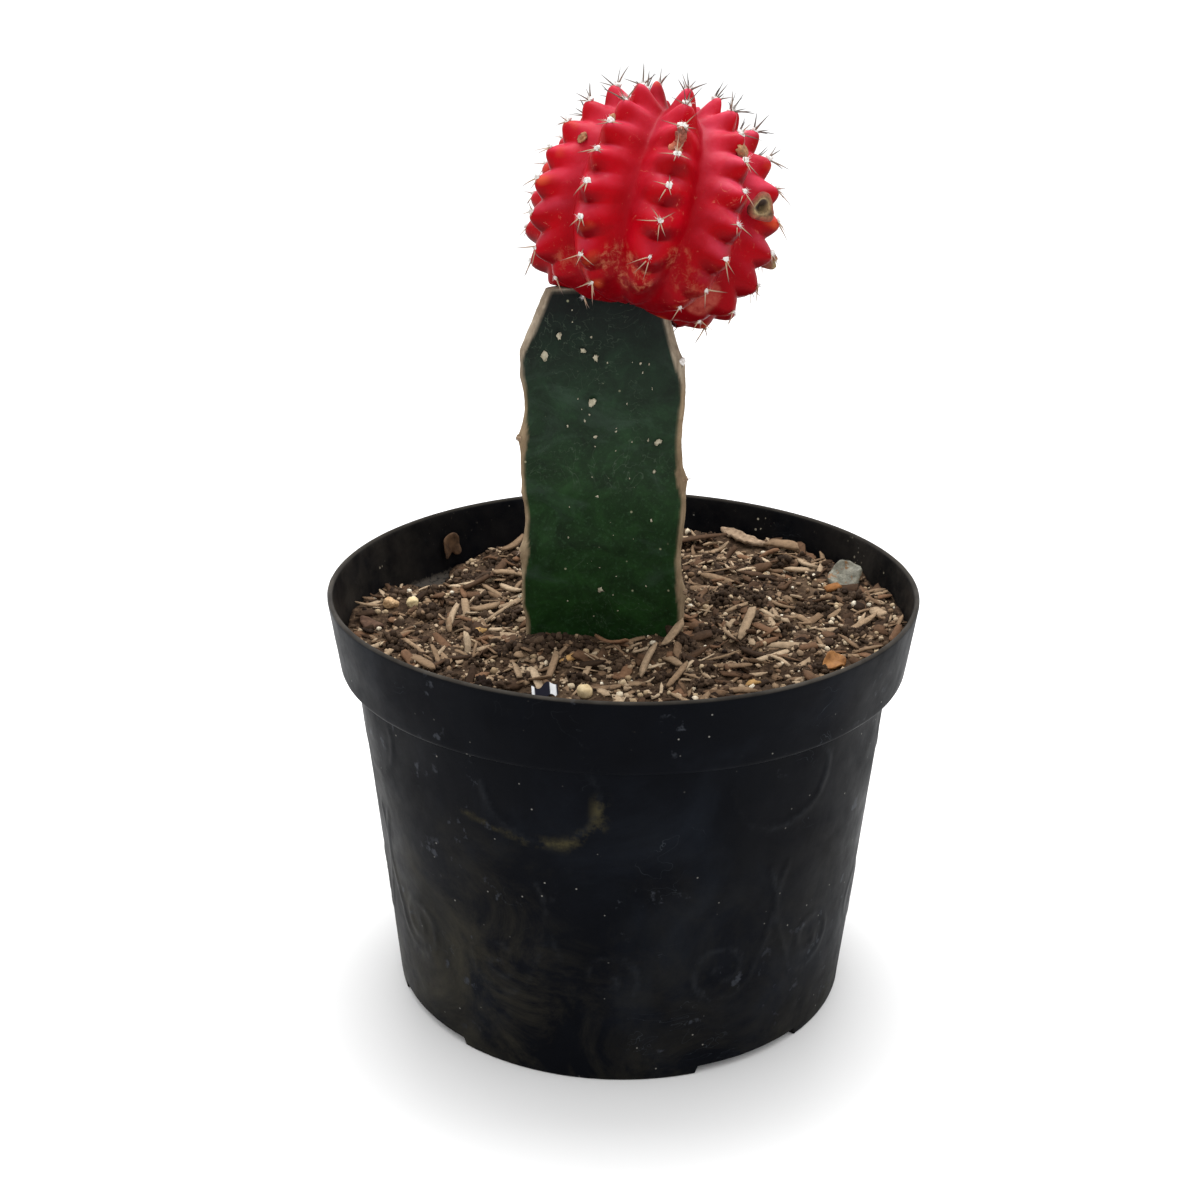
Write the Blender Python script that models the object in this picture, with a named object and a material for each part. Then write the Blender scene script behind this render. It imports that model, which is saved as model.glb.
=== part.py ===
"""Potted moon cactus.

A red scion without chlorophyll is grafted on a three-angled green rootstock, which stands in bark-rich
potting soil in a black nursery pot. The origin is the centre of the pot's base, +Z is up, and the front
faces -Y. All sizes are in metres and angles in degrees unless a name says otherwise.
"""

import math
import random

import bmesh
import bpy
import numpy as np
from mathutils import Matrix, Vector

# Clearance between pieces that touch
GAP = 0.0003

# Pot
POT_HEIGHT = 0.110
RIM_RADIUS = 0.075
COLLAR_DROP = 0.019
COLLAR_FOOT_RADIUS = 0.0725
BODY_TOP_RADIUS = 0.0687
BASE_RADIUS = 0.0598
WALL = 0.0015
LIP = 0.0006
FOOT_HEIGHT = 0.0024
FOOT_WIDTH = 0.0030
FLOOR = 0.0018
POT_SIDES = 60
RIM_WARP = 0.0005
# Waves of the warped rim: how many go round, their share, and where they start in radians
RIM_WAVES = ((2, 1.0, 0.6), (4, 0.6, -0.9))
NOTCH_FIRST_ANGLE = 34
NOTCH_SPAN = 30
NOTCH_COUNT = 4
NOTCH_STEPS = 5
DRAIN_RADIUS = 0.0035
DRAIN_CIRCLE_RADIUS = 0.036
DRAIN_SIDES = 12
POT_COLOUR = (0.012, 0.014, 0.017)

# Potting soil
SOIL_LEVEL = 0.0992
SOIL_SLOPE = 0.030
SOIL_DIP = 0.0066
SOIL_DIP_CENTRE = (-0.056, 0.046)
SOIL_DIP_REACH = 0.017
# Swells and ripples of the surface: height, radians per metre along X and along Y, and start in radians
SOIL_WAVES = (
    (0.0005, 210, 90, 0.4),
    (0.0005, -140, 260, 1.9),
    (0.0003, 430, -310, 2.2),
    (0.0003, 370, 520, 4.0),
)
SOIL_RINGS = 11
SOIL_SIDES = 38
SOIL_COLOUR = (0.075, 0.050, 0.034)
CLOD_COUNT = 30
CLOD_RADIUS = (0.0016, 0.0038)
CLOD_UNEVENNESS = (0.75, 1.15)
CLOD_FLATNESS = 0.62
CHIP_COUNT = 86
CHIP_LENGTH = (0.0035, 0.0105)
CHIP_WIDTH = (0.0011, 0.0024)
CHIP_THICKNESS = (0.0007, 0.0011)
CHIP_TAPER = 0.72
CHIP_SLANT = 0.4
CHIP_TILT = 0.28

# Loose pieces: spot, height of the middle above the soil, size, turn and tilt, sides of the outline, seed
LOOSE_PIECES = {
    "cream_pebble": ((-0.0089, -0.0485), 0.0012, (0.0044, 0.0042, 0.0036), 20, 10, 9, 3),
    "cream_grain_left": ((-0.0618, 0.0112), 0.0010, (0.0052, 0.0036, 0.0030), 35, 12, 8, 4),
    "cream_grain_right": ((-0.0556, 0.0105), 0.0010, (0.0036, 0.0034, 0.0032), 80, 15, 8, 5),
    "stone_flake": ((0.0592, 0.0245), 0.0013, (0.0115, 0.0080, 0.0022), 25, 24, 9, 6),
    "amber_chip": ((0.0516, -0.0316), 0.0011, (0.0080, 0.0052, 0.0014), 40, 20, 8, 7),
    "dark_bark": ((-0.0655, 0.0005), 0.0010, (0.0110, 0.0042, 0.0020), -48, 14, 8, 8),
    "bark_strip": ((0.0340, 0.0568), 0.0013, (0.0225, 0.0034, 0.0013), -49, 12, 8, 9),
    "plastic_scrap": ((-0.0184, -0.0451), 0.0013, (0.0062, 0.0040, 0.0010), 8, 42, 6, 10),
}
LOOSE_COLOURS = {
    "cream_pebble": (0.56, 0.44, 0.25),
    "cream_grain_left": (0.50, 0.34, 0.20),
    "cream_grain_right": (0.60, 0.50, 0.33),
    "stone_flake": (0.24, 0.24, 0.20),
    "amber_chip": (0.40, 0.15, 0.03),
    "dark_bark": (0.045, 0.026, 0.016),
    "bark_strip": (0.28, 0.19, 0.12),
    "plastic_scrap": (0.02, 0.02, 0.03),
}
# Levels of a flake, as shares of half its thickness, and the share of its outline kept there
FLAKE_LEVELS = ((-1, 0.86), (0, 1.0), (1, 0.84))
FLAKE_UNEVENNESS = (0.78, 1.05)

# Dry scrap stuck to the inside of the wall
WALL_SCRAP_SPOT = (-0.0495, 0.0525, 0.1002)
WALL_SCRAP_SIZE = (0.0072, 0.0076, 0.0009)
WALL_SCRAP_SIDES = 7
WALL_SCRAP_SEED = 12
WALL_SCRAP_COLOUR = (0.12, 0.07, 0.04)

# Rootstock
STEM_X = -0.0056
STEM_BASE = 0.056
STEM_TOP = 0.1877
STEM_FOOT_TAPER = 0.010
BEVEL_TOP_RADIUS = 0.0160
FACE_HOLLOW = 0.0009
FACE_POINTS = 5
STEM_RING_STEP = 0.0056
AREOLE_SPACING_ON_RIB = 0.0295
# Each rib: direction, reach at the soil and at the top, wave, height of a crest, height where its bevel starts
STEM_RIBS = (
    (90, 0.0234, 0.0223, 0.0009, 0.1250, 0.1720),
    (210, 0.0229, 0.0229, 0.0011, 0.1155, 0.1735),
    (330, 0.0238, 0.0218, 0.0006, 0.1055, 0.1705),
)
# Half of a rib's horny margin: distance in from its edge, and half thickness there
MARGIN_PROFILE = ((0.0034, 0.0017), (0.0016, 0.0019), (0.0003, 0.0011))
STEM_COLOUR = (0.020, 0.075, 0.028)

# Scion
SCION_CENTRE = (0.0064, 0.0, 0.2058)
SCION_AXIS = (0.232, 0.404, 0.885)
CREST_RADIUS = 0.0266
BULGE = 0.0034
BULGE_LATITUDE = -42
BULGE_REACH = 36
TUBERCLE_HEIGHT = 0.0030
FURROW_DEPTH = 0.0050
CROWN_DEPTH = 0.0050
CROWN_REACH = 21
BASE_DEPTH = 0.0030
BASE_REACH = 22
RIBS = 10
COLUMNS_PER_RIB = 4
ROWS_PER_AREOLE = 3
AREOLE_STEP = 15.0
HIGHEST_AREOLE = 4
LOWEST_AREOLE = -4
# Height of an areole on each rib, above the scion's equator; rib 0 faces the front
RIB_SHIFT = (-3.5, 6, 5, -4, 5, -3, 6, -4, -5, 7)
CHIN_LEAD = 0.15
POLAR_ROW_LATITUDE = 78
CROWN_LATITUDE = 35
HIGHEST_AREOLE_LATITUDE = 72
SCION_COLOUR = (0.52, 0.010, 0.022)
CUSHION_RADIUS = 0.0010
SPINE_RADIUS = 0.00021
SPINE_LENGTH = (0.0040, 0.0060)
SPINE_TURN_SPREAD = 14
SPINE_LEAN_SPREAD = 8
# Clearance of an areole, and of a spine's tip, from the stem's side
AREOLE_CLEARANCE = 0.004
SPINE_CLEARANCE = 0.001
# Spines of an areole: turn from the rib's upward line, and lean away from the surface's normal
SPINE_FAN = ((-118, 62), (172, 55), (112, 60))
CROWN_SPINE_FAN = ((-55, 38), (8, 25), (60, 42))
# Dried stubs: direction from the scion's centre, radius, share of the radius kept along that direction
STUBS = (
    ((0.93, -0.36, 0.03), 0.0032, 0.9),
    ((0.90, -0.10, -0.42), 0.0030, 1.0),
)


def clear_scene():
    """Removes every object that is already in the file."""
    for obj in list(bpy.data.objects):
        bpy.data.objects.remove(obj, do_unlink=True)


def finish(name, colour, roughness):
    """A plain material for one sub-part."""
    material = bpy.data.materials.new(name)
    material.use_nodes = True
    shader = material.node_tree.nodes["Principled BSDF"]
    shader.inputs["Base Color"].default_value = (*colour, 1.0)
    shader.inputs["Roughness"].default_value = roughness
    shader.inputs["Metallic"].default_value = 0.0
    material.diffuse_color = (*colour, 1.0)
    return material


def make_object(name, points, faces, collection=None):
    """An object from points and faces, with its faces turned outwards."""
    mesh = bpy.data.meshes.new(name)
    mesh.from_pydata([tuple(map(float, p)) for p in points], [], faces)
    outward = bmesh.new()
    outward.from_mesh(mesh)
    bmesh.ops.recalc_face_normals(outward, faces=outward.faces)
    outward.to_mesh(mesh)
    outward.free()
    obj = bpy.data.objects.new(name, mesh)
    (collection or bpy.context.scene.collection).objects.link(obj)
    return obj


def loft(name, rings, start, end, collection=None):
    """A closed body from a stack of rings of points, closed by a fan to a point at each end."""
    rings = np.asarray(rings, dtype=float)
    count, sides = rings.shape[:2]
    points = np.vstack([rings.reshape(-1, 3), [start], [end]])
    faces = []
    for row in range(count - 1):
        for side in range(sides):
            a = row * sides + side
            b = row * sides + (side + 1) % sides
            faces.append((a, b, b + sides, a + sides))
    first, last = count * sides, count * sides + 1
    top = (count - 1) * sides
    for side in range(sides):
        after = (side + 1) % sides
        faces.append((first, after, side))
        faces.append((last, top + side, top + after))
    return make_object(name, points, faces, collection)


def dress(obj, colour, roughness, sharp_angle=35):
    """Gives an object its material and smooth shading."""
    obj.data.materials.clear()
    obj.data.materials.append(finish(obj.name, colour, roughness))
    obj.data.shade_smooth()
    obj.data.set_sharp_from_angle(angle=math.radians(sharp_angle))


def apply_boolean(target, operation, cutter, solver="EXACT"):
    """Applies one Boolean with an object or a collection, then removes what was combined."""
    modifier = target.modifiers.new("Boolean", "BOOLEAN")
    modifier.operation = operation
    modifier.solver = solver
    is_collection = isinstance(cutter, bpy.types.Collection)
    if is_collection:
        modifier.operand_type = "COLLECTION"
        modifier.collection = cutter
    else:
        modifier.object = cutter
    bpy.context.view_layer.objects.active = target
    bpy.ops.object.modifier_apply(modifier=modifier.name)
    used = list(cutter.objects) if is_collection else [cutter]
    for obj in used:
        bpy.data.objects.remove(obj, do_unlink=True)
    if is_collection:
        bpy.data.collections.remove(cutter)


def keep_largest_body(obj):
    """Deletes the loose scraps that a cut leaves beside the main body."""
    body = bmesh.new()
    body.from_mesh(obj.data)
    unseen = set(body.verts)
    islands = []
    while unseen:
        island = {unseen.pop()}
        edge_of_search = list(island)
        while edge_of_search:
            vert = edge_of_search.pop()
            for edge in vert.link_edges:
                other = edge.other_vert(vert)
                if other in unseen:
                    unseen.remove(other)
                    island.add(other)
                    edge_of_search.append(other)
        islands.append(island)
    largest = max(islands, key=len)
    scraps = [v for island in islands if island is not largest for v in island]
    bmesh.ops.delete(body, geom=scraps, context="VERTS")
    body.to_mesh(obj.data)
    body.free()


def new_collection(name):
    """A collection that holds repeats until they are joined."""
    collection = bpy.data.collections.new(name)
    bpy.context.scene.collection.children.link(collection)
    return collection


def warp_rim(points):
    """Pushes points in and out round the pot, by more the higher they are, like a used thin rim."""
    points = np.array(points, dtype=float)
    angle = np.arctan2(points[..., 1], points[..., 0])
    wave = sum(share * np.cos(count * angle + start) for count, share, start in RIM_WAVES)
    radius = np.hypot(points[..., 0], points[..., 1])
    reach = RIM_WARP * wave * (points[..., 2] / POT_HEIGHT) ** 3
    scale = 1 + reach / np.maximum(radius, RIM_RADIUS / 2)
    points[..., 0] *= scale
    points[..., 1] *= scale
    return points


def turned(name, profile, sides):
    """A body turned round the Z axis from a profile that starts and ends on the axis."""
    angle = np.linspace(0, 2 * np.pi, sides, endpoint=False)
    rings = [np.stack([r * np.cos(angle), r * np.sin(angle), np.full(sides, z)], 1) for r, z in profile[1:-1]]
    return loft(name, warp_rim(rings), (0, 0, profile[0][1]), (0, 0, profile[-1][1]))


def pot_inside_profile():
    """The pot's inner wall from the floor's edge up to the lip, as radius and height."""
    ledge = POT_HEIGHT - COLLAR_DROP + WALL
    return (
        (BASE_RADIUS - WALL, FOOT_HEIGHT + FLOOR),
        (BODY_TOP_RADIUS - WALL, ledge - WALL / 2),
        (COLLAR_FOOT_RADIUS - WALL, ledge),
        (RIM_RADIUS - WALL, POT_HEIGHT - LIP),
    )


def inside_radius(z):
    """The radius of the pot's inner wall at a height."""
    radii, heights = zip(*pot_inside_profile())
    return float(np.interp(z, heights, radii))


def make_pot():
    """A thin moulded shell with a stepped collar, a rounded lip, a notched foot ring and drain holes."""
    collar_foot = POT_HEIGHT - COLLAR_DROP
    outside = (
        (BASE_RADIUS - FOOT_WIDTH, FOOT_HEIGHT),
        (BASE_RADIUS - FOOT_WIDTH, 0),
        (BASE_RADIUS, 0),
        (BODY_TOP_RADIUS, collar_foot - LIP),
        (COLLAR_FOOT_RADIUS - LIP, collar_foot - LIP),
        (COLLAR_FOOT_RADIUS, collar_foot),
        (RIM_RADIUS, POT_HEIGHT - LIP),
        (RIM_RADIUS - WALL / 2, POT_HEIGHT),
    )
    floor_top = FOOT_HEIGHT + FLOOR
    profile = ((0, FOOT_HEIGHT), *outside, *reversed(pot_inside_profile()), (0, floor_top))
    pot = turned("pot", profile, POT_SIDES)
    cutters = new_collection("pot_cutters")
    for number in range(NOTCH_COUNT):
        turn = NOTCH_FIRST_ANGLE + 360 / NOTCH_COUNT * number - 90
        add_notch(cutters, turn)
        add_drain(cutters, DRAIN_CIRCLE_RADIUS, turn)
    add_drain(cutters, 0, 0)
    apply_boolean(pot, "DIFFERENCE", cutters)
    dress(pot, POT_COLOUR, 0.45)


def add_notch(collection, turn):
    """A wedge that cuts one notch through the foot ring, up to just under the floor."""
    half = math.radians(NOTCH_SPAN / 2)
    low, high = -FOOT_HEIGHT, FOOT_HEIGHT - LIP / 4
    inner, outer = BASE_RADIUS - FOOT_WIDTH * 2, BASE_RADIUS + FOOT_WIDTH
    base = math.radians(turn)
    steps = np.linspace(base - half, base + half, NOTCH_STEPS)
    outline = [(inner * math.cos(a), inner * math.sin(a)) for a in steps]
    outline += [(outer * math.cos(a), outer * math.sin(a)) for a in reversed(steps)]
    prism("notch", outline, low, high, collection)


def add_drain(collection, distance, turn):
    """A round drain hole through the floor."""
    x = distance * math.cos(math.radians(turn))
    y = distance * math.sin(math.radians(turn))
    outline = []
    for side in range(DRAIN_SIDES):
        angle = 2 * math.pi * side / DRAIN_SIDES
        outline.append((x + DRAIN_RADIUS * math.cos(angle), y + DRAIN_RADIUS * math.sin(angle)))
    prism("drain", outline, 0, FOOT_HEIGHT + FLOOR * 2, collection)


def prism(name, outline, low, high, collection=None):
    """A straight prism over an outline, between two heights."""
    count = len(outline)
    points = [(x, y, low) for x, y in outline] + [(x, y, high) for x, y in outline]
    faces = [tuple(range(count)), tuple(range(count, 2 * count))]
    for a in range(count):
        b = (a + 1) % count
        faces.append((a, b, b + count, a + count))
    return make_object(name, points, faces, collection)


def soil_height(x, y):
    """The soil's surface: a plane that rises to the right, a dip at the back left, and low swells."""
    dip_x, dip_y = SOIL_DIP_CENTRE
    distance = np.hypot(x - dip_x, y - dip_y)
    level = SOIL_LEVEL + SOIL_SLOPE * x - SOIL_DIP * np.exp(-((distance / SOIL_DIP_REACH) ** 2))
    for height, along_x, along_y, start in SOIL_WAVES:
        level = level + height * np.sin(along_x * x + along_y * y + start)
    return level


def make_soil(loose_cutters):
    """Soil that fills the pot up to its uneven surface, with chips and clods, and a hole for the stem.

    The exact solver leaves open edges where so many small bits cross, so the manifold one joins them.
    """
    wall = [(r - GAP, z + GAP) for r, z in pot_inside_profile()]
    soil = turned("potting_soil", ((0, wall[0][1]), *wall, (0, wall[-1][1])), POT_SIDES)
    apply_boolean(soil, "INTERSECT", soil_relief(), "MANIFOLD")
    repeats = new_collection("soil_repeats")
    draw = random.Random(11)
    scatter_clods(repeats, draw)
    scatter_chips(repeats, draw)
    apply_boolean(soil, "UNION", repeats, "MANIFOLD")
    apply_boolean(soil, "DIFFERENCE", stem_body("stem_hole", GAP), "MANIFOLD")
    for cutter in loose_cutters:
        apply_boolean(soil, "DIFFERENCE", cutter, "MANIFOLD")
    keep_largest_body(soil)
    dress(soil, SOIL_COLOUR, 0.95)


def soil_relief():
    """A block wider than the pot whose top is the soil's surface."""
    angle = np.linspace(0, 2 * np.pi, SOIL_SIDES, endpoint=False)
    outer = RIM_RADIUS * 1.04
    radii = outer * (np.arange(SOIL_RINGS) + 1) / SOIL_RINGS
    rings = []
    for r in radii:
        x, y = r * np.cos(angle), r * np.sin(angle)
        rings.append(np.stack([x, y, soil_height(x, y)], 1))
    x, y = outer * np.cos(angle), outer * np.sin(angle)
    rings.append(np.stack([x, y, np.full(SOIL_SIDES, -FLOOR)], 1))
    centre = (0, 0, float(soil_height(0.0, 0.0)))
    return loft("soil_relief", rings, centre, (0, 0, -FLOOR))


def random_place(draw, margin):
    """A random spot on the soil, evenly spread, kept a margin away from the wall."""
    limit = inside_radius(SOIL_LEVEL) - margin
    r = limit * math.sqrt(draw.random())
    angle = draw.uniform(0, 2 * math.pi)
    x, y = r * math.cos(angle), r * math.sin(angle)
    return x, y, float(soil_height(x, y))


def place(points, x, y, z, turn, tilt):
    """Tilts points about X, turns them about Z and moves them to a spot."""
    matrix = Matrix.Translation((x, y, z)) @ Matrix.Rotation(turn, 4, "Z") @ Matrix.Rotation(tilt, 4, "X")
    return [matrix @ Vector(p) for p in points]


def scatter_clods(collection, draw):
    """Low lumps of soil, sunk to about half, flattened and turned at random."""
    for _ in range(CLOD_COUNT):
        size = draw.uniform(*CLOD_RADIUS)
        x, y, z = random_place(draw, 2 * size)
        lump = bmesh.new()
        bmesh.ops.create_icosphere(lump, subdivisions=1, radius=size)
        for vert in lump.verts:
            vert.co *= draw.uniform(*CLOD_UNEVENNESS)
            vert.co.z *= CLOD_FLATNESS
        points = place([v.co for v in lump.verts], x, y, z + 0.15 * size, draw.uniform(0, 2 * math.pi), 0)
        faces = [tuple(v.index for v in f.verts) for f in lump.faces]
        lump.free()
        make_object("clod", points, faces, collection)


def scatter_chips(collection, draw):
    """Wood slivers with slanted ends, each with one end or one edge sunk in the soil."""
    for _ in range(CHIP_COUNT):
        length = draw.uniform(*CHIP_LENGTH)
        wide = draw.uniform(*CHIP_WIDTH) / 2
        narrow = wide * CHIP_TAPER
        thick = draw.uniform(*CHIP_THICKNESS)
        x, y, z = random_place(draw, 0.6 * length + GAP)
        slant = draw.uniform(-CHIP_SLANT, CHIP_SLANT) * 2 * wide
        half = length / 2
        outline = (
            (-wide, -half + slant),
            (wide, -half - slant),
            (narrow, half + slant),
            (-narrow, half - slant),
        )
        points = [(px, py, pz) for pz in (-thick / 2, thick / 2) for px, py in outline]
        tilt = draw.uniform(-CHIP_TILT, CHIP_TILT)
        points = place(points, x, y, z + 0.25 * thick, draw.uniform(0, 2 * math.pi), tilt)
        faces = [(0, 1, 2, 3), (4, 5, 6, 7), (0, 1, 5, 4), (1, 2, 6, 5), (2, 3, 7, 6), (3, 0, 4, 7)]
        make_object("chip", points, faces, collection)


def rib_radius(rib, z):
    """A rib's reach at a height: its taper and its wave, cut back by the bevel at the top and the foot."""
    _, low, high, wave, crest, bevel_start = rib
    along = np.clip((z - SOIL_LEVEL) / (STEM_TOP - SOIL_LEVEL), 0, 1)
    reach = low + (high - low) * along + wave * np.cos(2 * np.pi * (z - crest) / AREOLE_SPACING_ON_RIB)
    bevel_slope = (high - BEVEL_TOP_RADIUS) / (STEM_TOP - bevel_start)
    bevel = BEVEL_TOP_RADIUS + bevel_slope * (STEM_TOP - z)
    foot = low * 0.7 + low * 0.3 * np.clip((z - STEM_BASE) / STEM_FOOT_TAPER, 0, 1)
    return min(reach, bevel, foot)


def stem_section(z, grow):
    """One closed ring of the stem: three thick-edged ribs joined by slightly hollow faces."""
    tips = []
    for rib in STEM_RIBS:
        angle = math.radians(rib[0])
        out = np.array([math.cos(angle), math.sin(angle)])
        side = np.array([-out[1], out[0]])
        reach = rib_radius(rib, z) + grow
        before = [out * (reach - back) - side * (half + grow) for back, half in MARGIN_PROFILE]
        after = [out * (reach - back) + side * (half + grow) for back, half in reversed(MARGIN_PROFILE)]
        tips.append(before + after)
    ring = []
    for number, tip in enumerate(tips):
        ring += tip
        start, end = tip[-1], tips[(number + 1) % len(tips)][0]
        inward = -(start + end) / np.linalg.norm(start + end)
        for step in range(1, FACE_POINTS + 1):
            t = step / (FACE_POINTS + 1)
            ring.append(start + (end - start) * t + inward * FACE_HOLLOW * 4 * t * (1 - t))
    return [(x + STEM_X, y, z) for x, y in ring]


def stem_body(name, grow):
    """The whole stem, or a copy grown by a clearance to cut its hole."""
    low, high = STEM_BASE - grow, STEM_TOP + grow
    heights = np.arange(low + STEM_RING_STEP, high - STEM_RING_STEP / 2, STEM_RING_STEP)
    rings = [stem_section(float(z), grow) for z in (low, *heights, high)]
    return loft(name, rings, (STEM_X, 0, low), (STEM_X, 0, high))


def make_rootstock():
    """The green three-angled stem."""
    stem = stem_body("rootstock", 0.0)
    dress(stem, STEM_COLOUR, 0.5, sharp_angle=50)


def inside_stem(point, margin):
    """Whether a point is inside the stem's upper part, or nearer to it than a margin."""
    if point[2] > STEM_TOP + margin:
        return False
    across = np.array([point[0] - STEM_X, point[1]])
    reach = STEM_RIBS[0][1] * 0.5 + margin
    normals = [np.array([math.cos(a), math.sin(a)]) for a in np.radians((30, 150, 270))]
    return all(across @ normal < reach for normal in normals)


def smooth_rise(value, low, high):
    """Rises smoothly from 0 at low to 1 at high."""
    t = np.clip((value - low) / (high - low), 0, 1)
    return t * t * (3 - 2 * t)


def scion_radius(lat, lon):
    """The skin's distance from the scion's centre, at a latitude and longitude in degrees.

    It is a ball that is widest below its middle and drawn in at the crown and the base. Round it runs a
    wave with a sharp trough at each furrow. Up each rib runs a wave with a crest at each tubercle's chin,
    just below its areole, which fades towards the furrows.
    """
    turn = np.asarray(lon) * RIBS / 360
    nearest = np.round(turn)
    across = 2 * np.abs(turn - nearest)
    shift = np.take(RIB_SHIFT, nearest.astype(int) % RIBS)
    step = (lat - shift) / AREOLE_STEP
    chin = 0.5 + 0.5 * np.cos(2 * np.pi * (step + CHIN_LEAD))
    ends = smooth_rise(lat, -80, -62) * smooth_rise(-lat, -86, -70)
    crown_gain = 1 + 0.6 * smooth_rise(lat, 30, 62)
    tubercle = TUBERCLE_HEIGHT * chin * ends * crown_gain * (1 - 0.72 * across**1.6)
    furrow = FURROW_DEPTH * across**1.3 * np.cos(np.radians(lat)) ** 0.6
    crown = CROWN_DEPTH * np.exp(-(((90 - lat) / CROWN_REACH) ** 2))
    base = BASE_DEPTH * np.exp(-(((90 + lat) / BASE_REACH) ** 2))
    bulge = BULGE * np.exp(-(((lat - BULGE_LATITUDE) / BULGE_REACH) ** 2))
    return CREST_RADIUS + bulge + tubercle - furrow - crown - base


def scion_frame():
    """The scion's axis, the direction that its rib 0 faces and the direction to that rib's right."""
    axis = np.array(SCION_AXIS) / np.linalg.norm(SCION_AXIS)
    front = np.array([0.0, -1.0, 0.0])
    front = front - axis * (front @ axis)
    front /= np.linalg.norm(front)
    return axis, front, np.cross(axis, front)


def scion_point(lat, lon):
    """The point of the scion's skin at a latitude and longitude, and the direction out from the centre."""
    axis, front, right = scion_frame()
    lat, lon = np.broadcast_arrays(np.asarray(lat, dtype=float), np.asarray(lon, dtype=float))
    a, b = np.radians(lat)[..., None], np.radians(lon)[..., None]
    out = np.cos(a) * (np.cos(b) * front + np.sin(b) * right) + np.sin(a) * axis
    return np.array(SCION_CENTRE) + out * scion_radius(lat, lon)[..., None], out


def scion_body():
    """The ribbed and tubercled head, on rows that bend to pass through the areoles of every rib."""
    columns = RIBS * COLUMNS_PER_RIB
    lon = np.arange(columns) * 360 / columns
    shift = np.interp(lon * RIBS / 360, np.arange(RIBS + 1), (*RIB_SHIFT, RIB_SHIFT[0]))
    count = int(POLAR_ROW_LATITUDE / AREOLE_STEP * ROWS_PER_AREOLE)
    rings = []
    for row in range(-count, count + 1):
        lat = row / ROWS_PER_AREOLE * AREOLE_STEP
        fade = 1 - (abs(row) / count) ** 4
        rings.append(scion_point(lat + shift * fade, lon)[0])
    bottom, top = (scion_point(lat, 0.0)[0] for lat in (-90.0, 90.0))
    return loft("scion", rings, bottom, top)


def areoles():
    """Each areole's rib and latitude, where the head isn't covered by the stem."""
    for rib in range(RIBS):
        for number in range(LOWEST_AREOLE, HIGHEST_AREOLE + 1):
            lat = number * AREOLE_STEP + RIB_SHIFT[rib]
            if lat > HIGHEST_AREOLE_LATITUDE:
                continue
            spot, out = scion_point(lat, rib * 360 / RIBS)
            tip = spot + out * SPINE_LENGTH[1] * 0.5
            if not inside_stem(spot, AREOLE_CLEARANCE) and not inside_stem(tip, AREOLE_CLEARANCE):
                yield rib, lat, spot, out


def add_cushion(collection, spot, out):
    """A small woolly cushion: a four-sided bead sunk to nearly half in the skin."""
    out = Vector(out)
    side = out.orthogonal().normalized()
    other = out.cross(side)
    centre = Vector(spot) + out * CUSHION_RADIUS * 0.15
    ring = []
    for step in range(4):
        angle = math.radians(90 * step)
        ring.append(centre + (side * math.cos(angle) + other * math.sin(angle)) * CUSHION_RADIUS)
    reach = out * CUSHION_RADIUS * 0.9
    loft("cushion", [ring], centre - reach, centre + reach, collection)


def add_spine(collection, spot, direction, length):
    """A straight three-sided spine whose root is sunk in the cushion."""
    direction = Vector(direction).normalized()
    side = direction.orthogonal().normalized()
    other = direction.cross(side)
    root = Vector(spot) - direction * CUSHION_RADIUS * 0.6
    points = []
    for step in range(3):
        angle = math.radians(120 * step)
        points.append(root + (side * math.cos(angle) + other * math.sin(angle)) * SPINE_RADIUS)
    points.append(root + direction * length)
    make_object("spine", points, [(0, 1, 2), (0, 1, 3), (1, 2, 3), (2, 0, 3)], collection)


def add_stub(collection, out, size, squash):
    """A dried stub on the head's flank: a low lump, sunk in the skin."""
    out = Vector(out).normalized()
    lump = bmesh.new()
    bmesh.ops.create_icosphere(lump, subdivisions=1, radius=size)
    centre = Vector(SCION_CENTRE) + out * CREST_RADIUS
    points = [centre + v.co - out * (v.co @ out) * (1 - squash) for v in lump.verts]
    faces = [tuple(v.index for v in f.verts) for f in lump.faces]
    lump.free()
    make_object("stub", points, faces, collection)


def make_scion():
    """The red head with its areoles, spines and dried stubs, seated over the stem's bevelled top.

    The manifold solver joins the repeats, because the exact one leaves open edges among so many.
    """
    scion = scion_body()
    apply_boolean(scion, "DIFFERENCE", stem_body("stem_seat", GAP))
    axis = scion_frame()[0]
    repeats = new_collection("scion_repeats")
    draw = random.Random(5)
    for rib, lat, spot, out in areoles():
        add_cushion(repeats, spot, out)
        up = axis - out * (axis @ out)
        up /= np.linalg.norm(up)
        side = np.cross(out, up)
        for turn, lean in CROWN_SPINE_FAN if lat > CROWN_LATITUDE else SPINE_FAN:
            turn = math.radians(turn + draw.uniform(-SPINE_TURN_SPREAD, SPINE_TURN_SPREAD))
            lean = math.radians(lean + draw.uniform(-SPINE_LEAN_SPREAD, SPINE_LEAN_SPREAD))
            along = up * math.cos(turn) + side * math.sin(turn)
            direction = out * math.cos(lean) + along * math.sin(lean)
            length = draw.uniform(*SPINE_LENGTH)
            if not inside_stem(spot + direction * length, SPINE_CLEARANCE):
                add_spine(repeats, spot + out * CUSHION_RADIUS * 0.3, direction, length)
    for stub in STUBS:
        add_stub(repeats, *stub)
    apply_boolean(scion, "UNION", repeats, "MANIFOLD")
    keep_largest_body(scion)
    dress(scion, SCION_COLOUR, 0.42)


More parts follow.
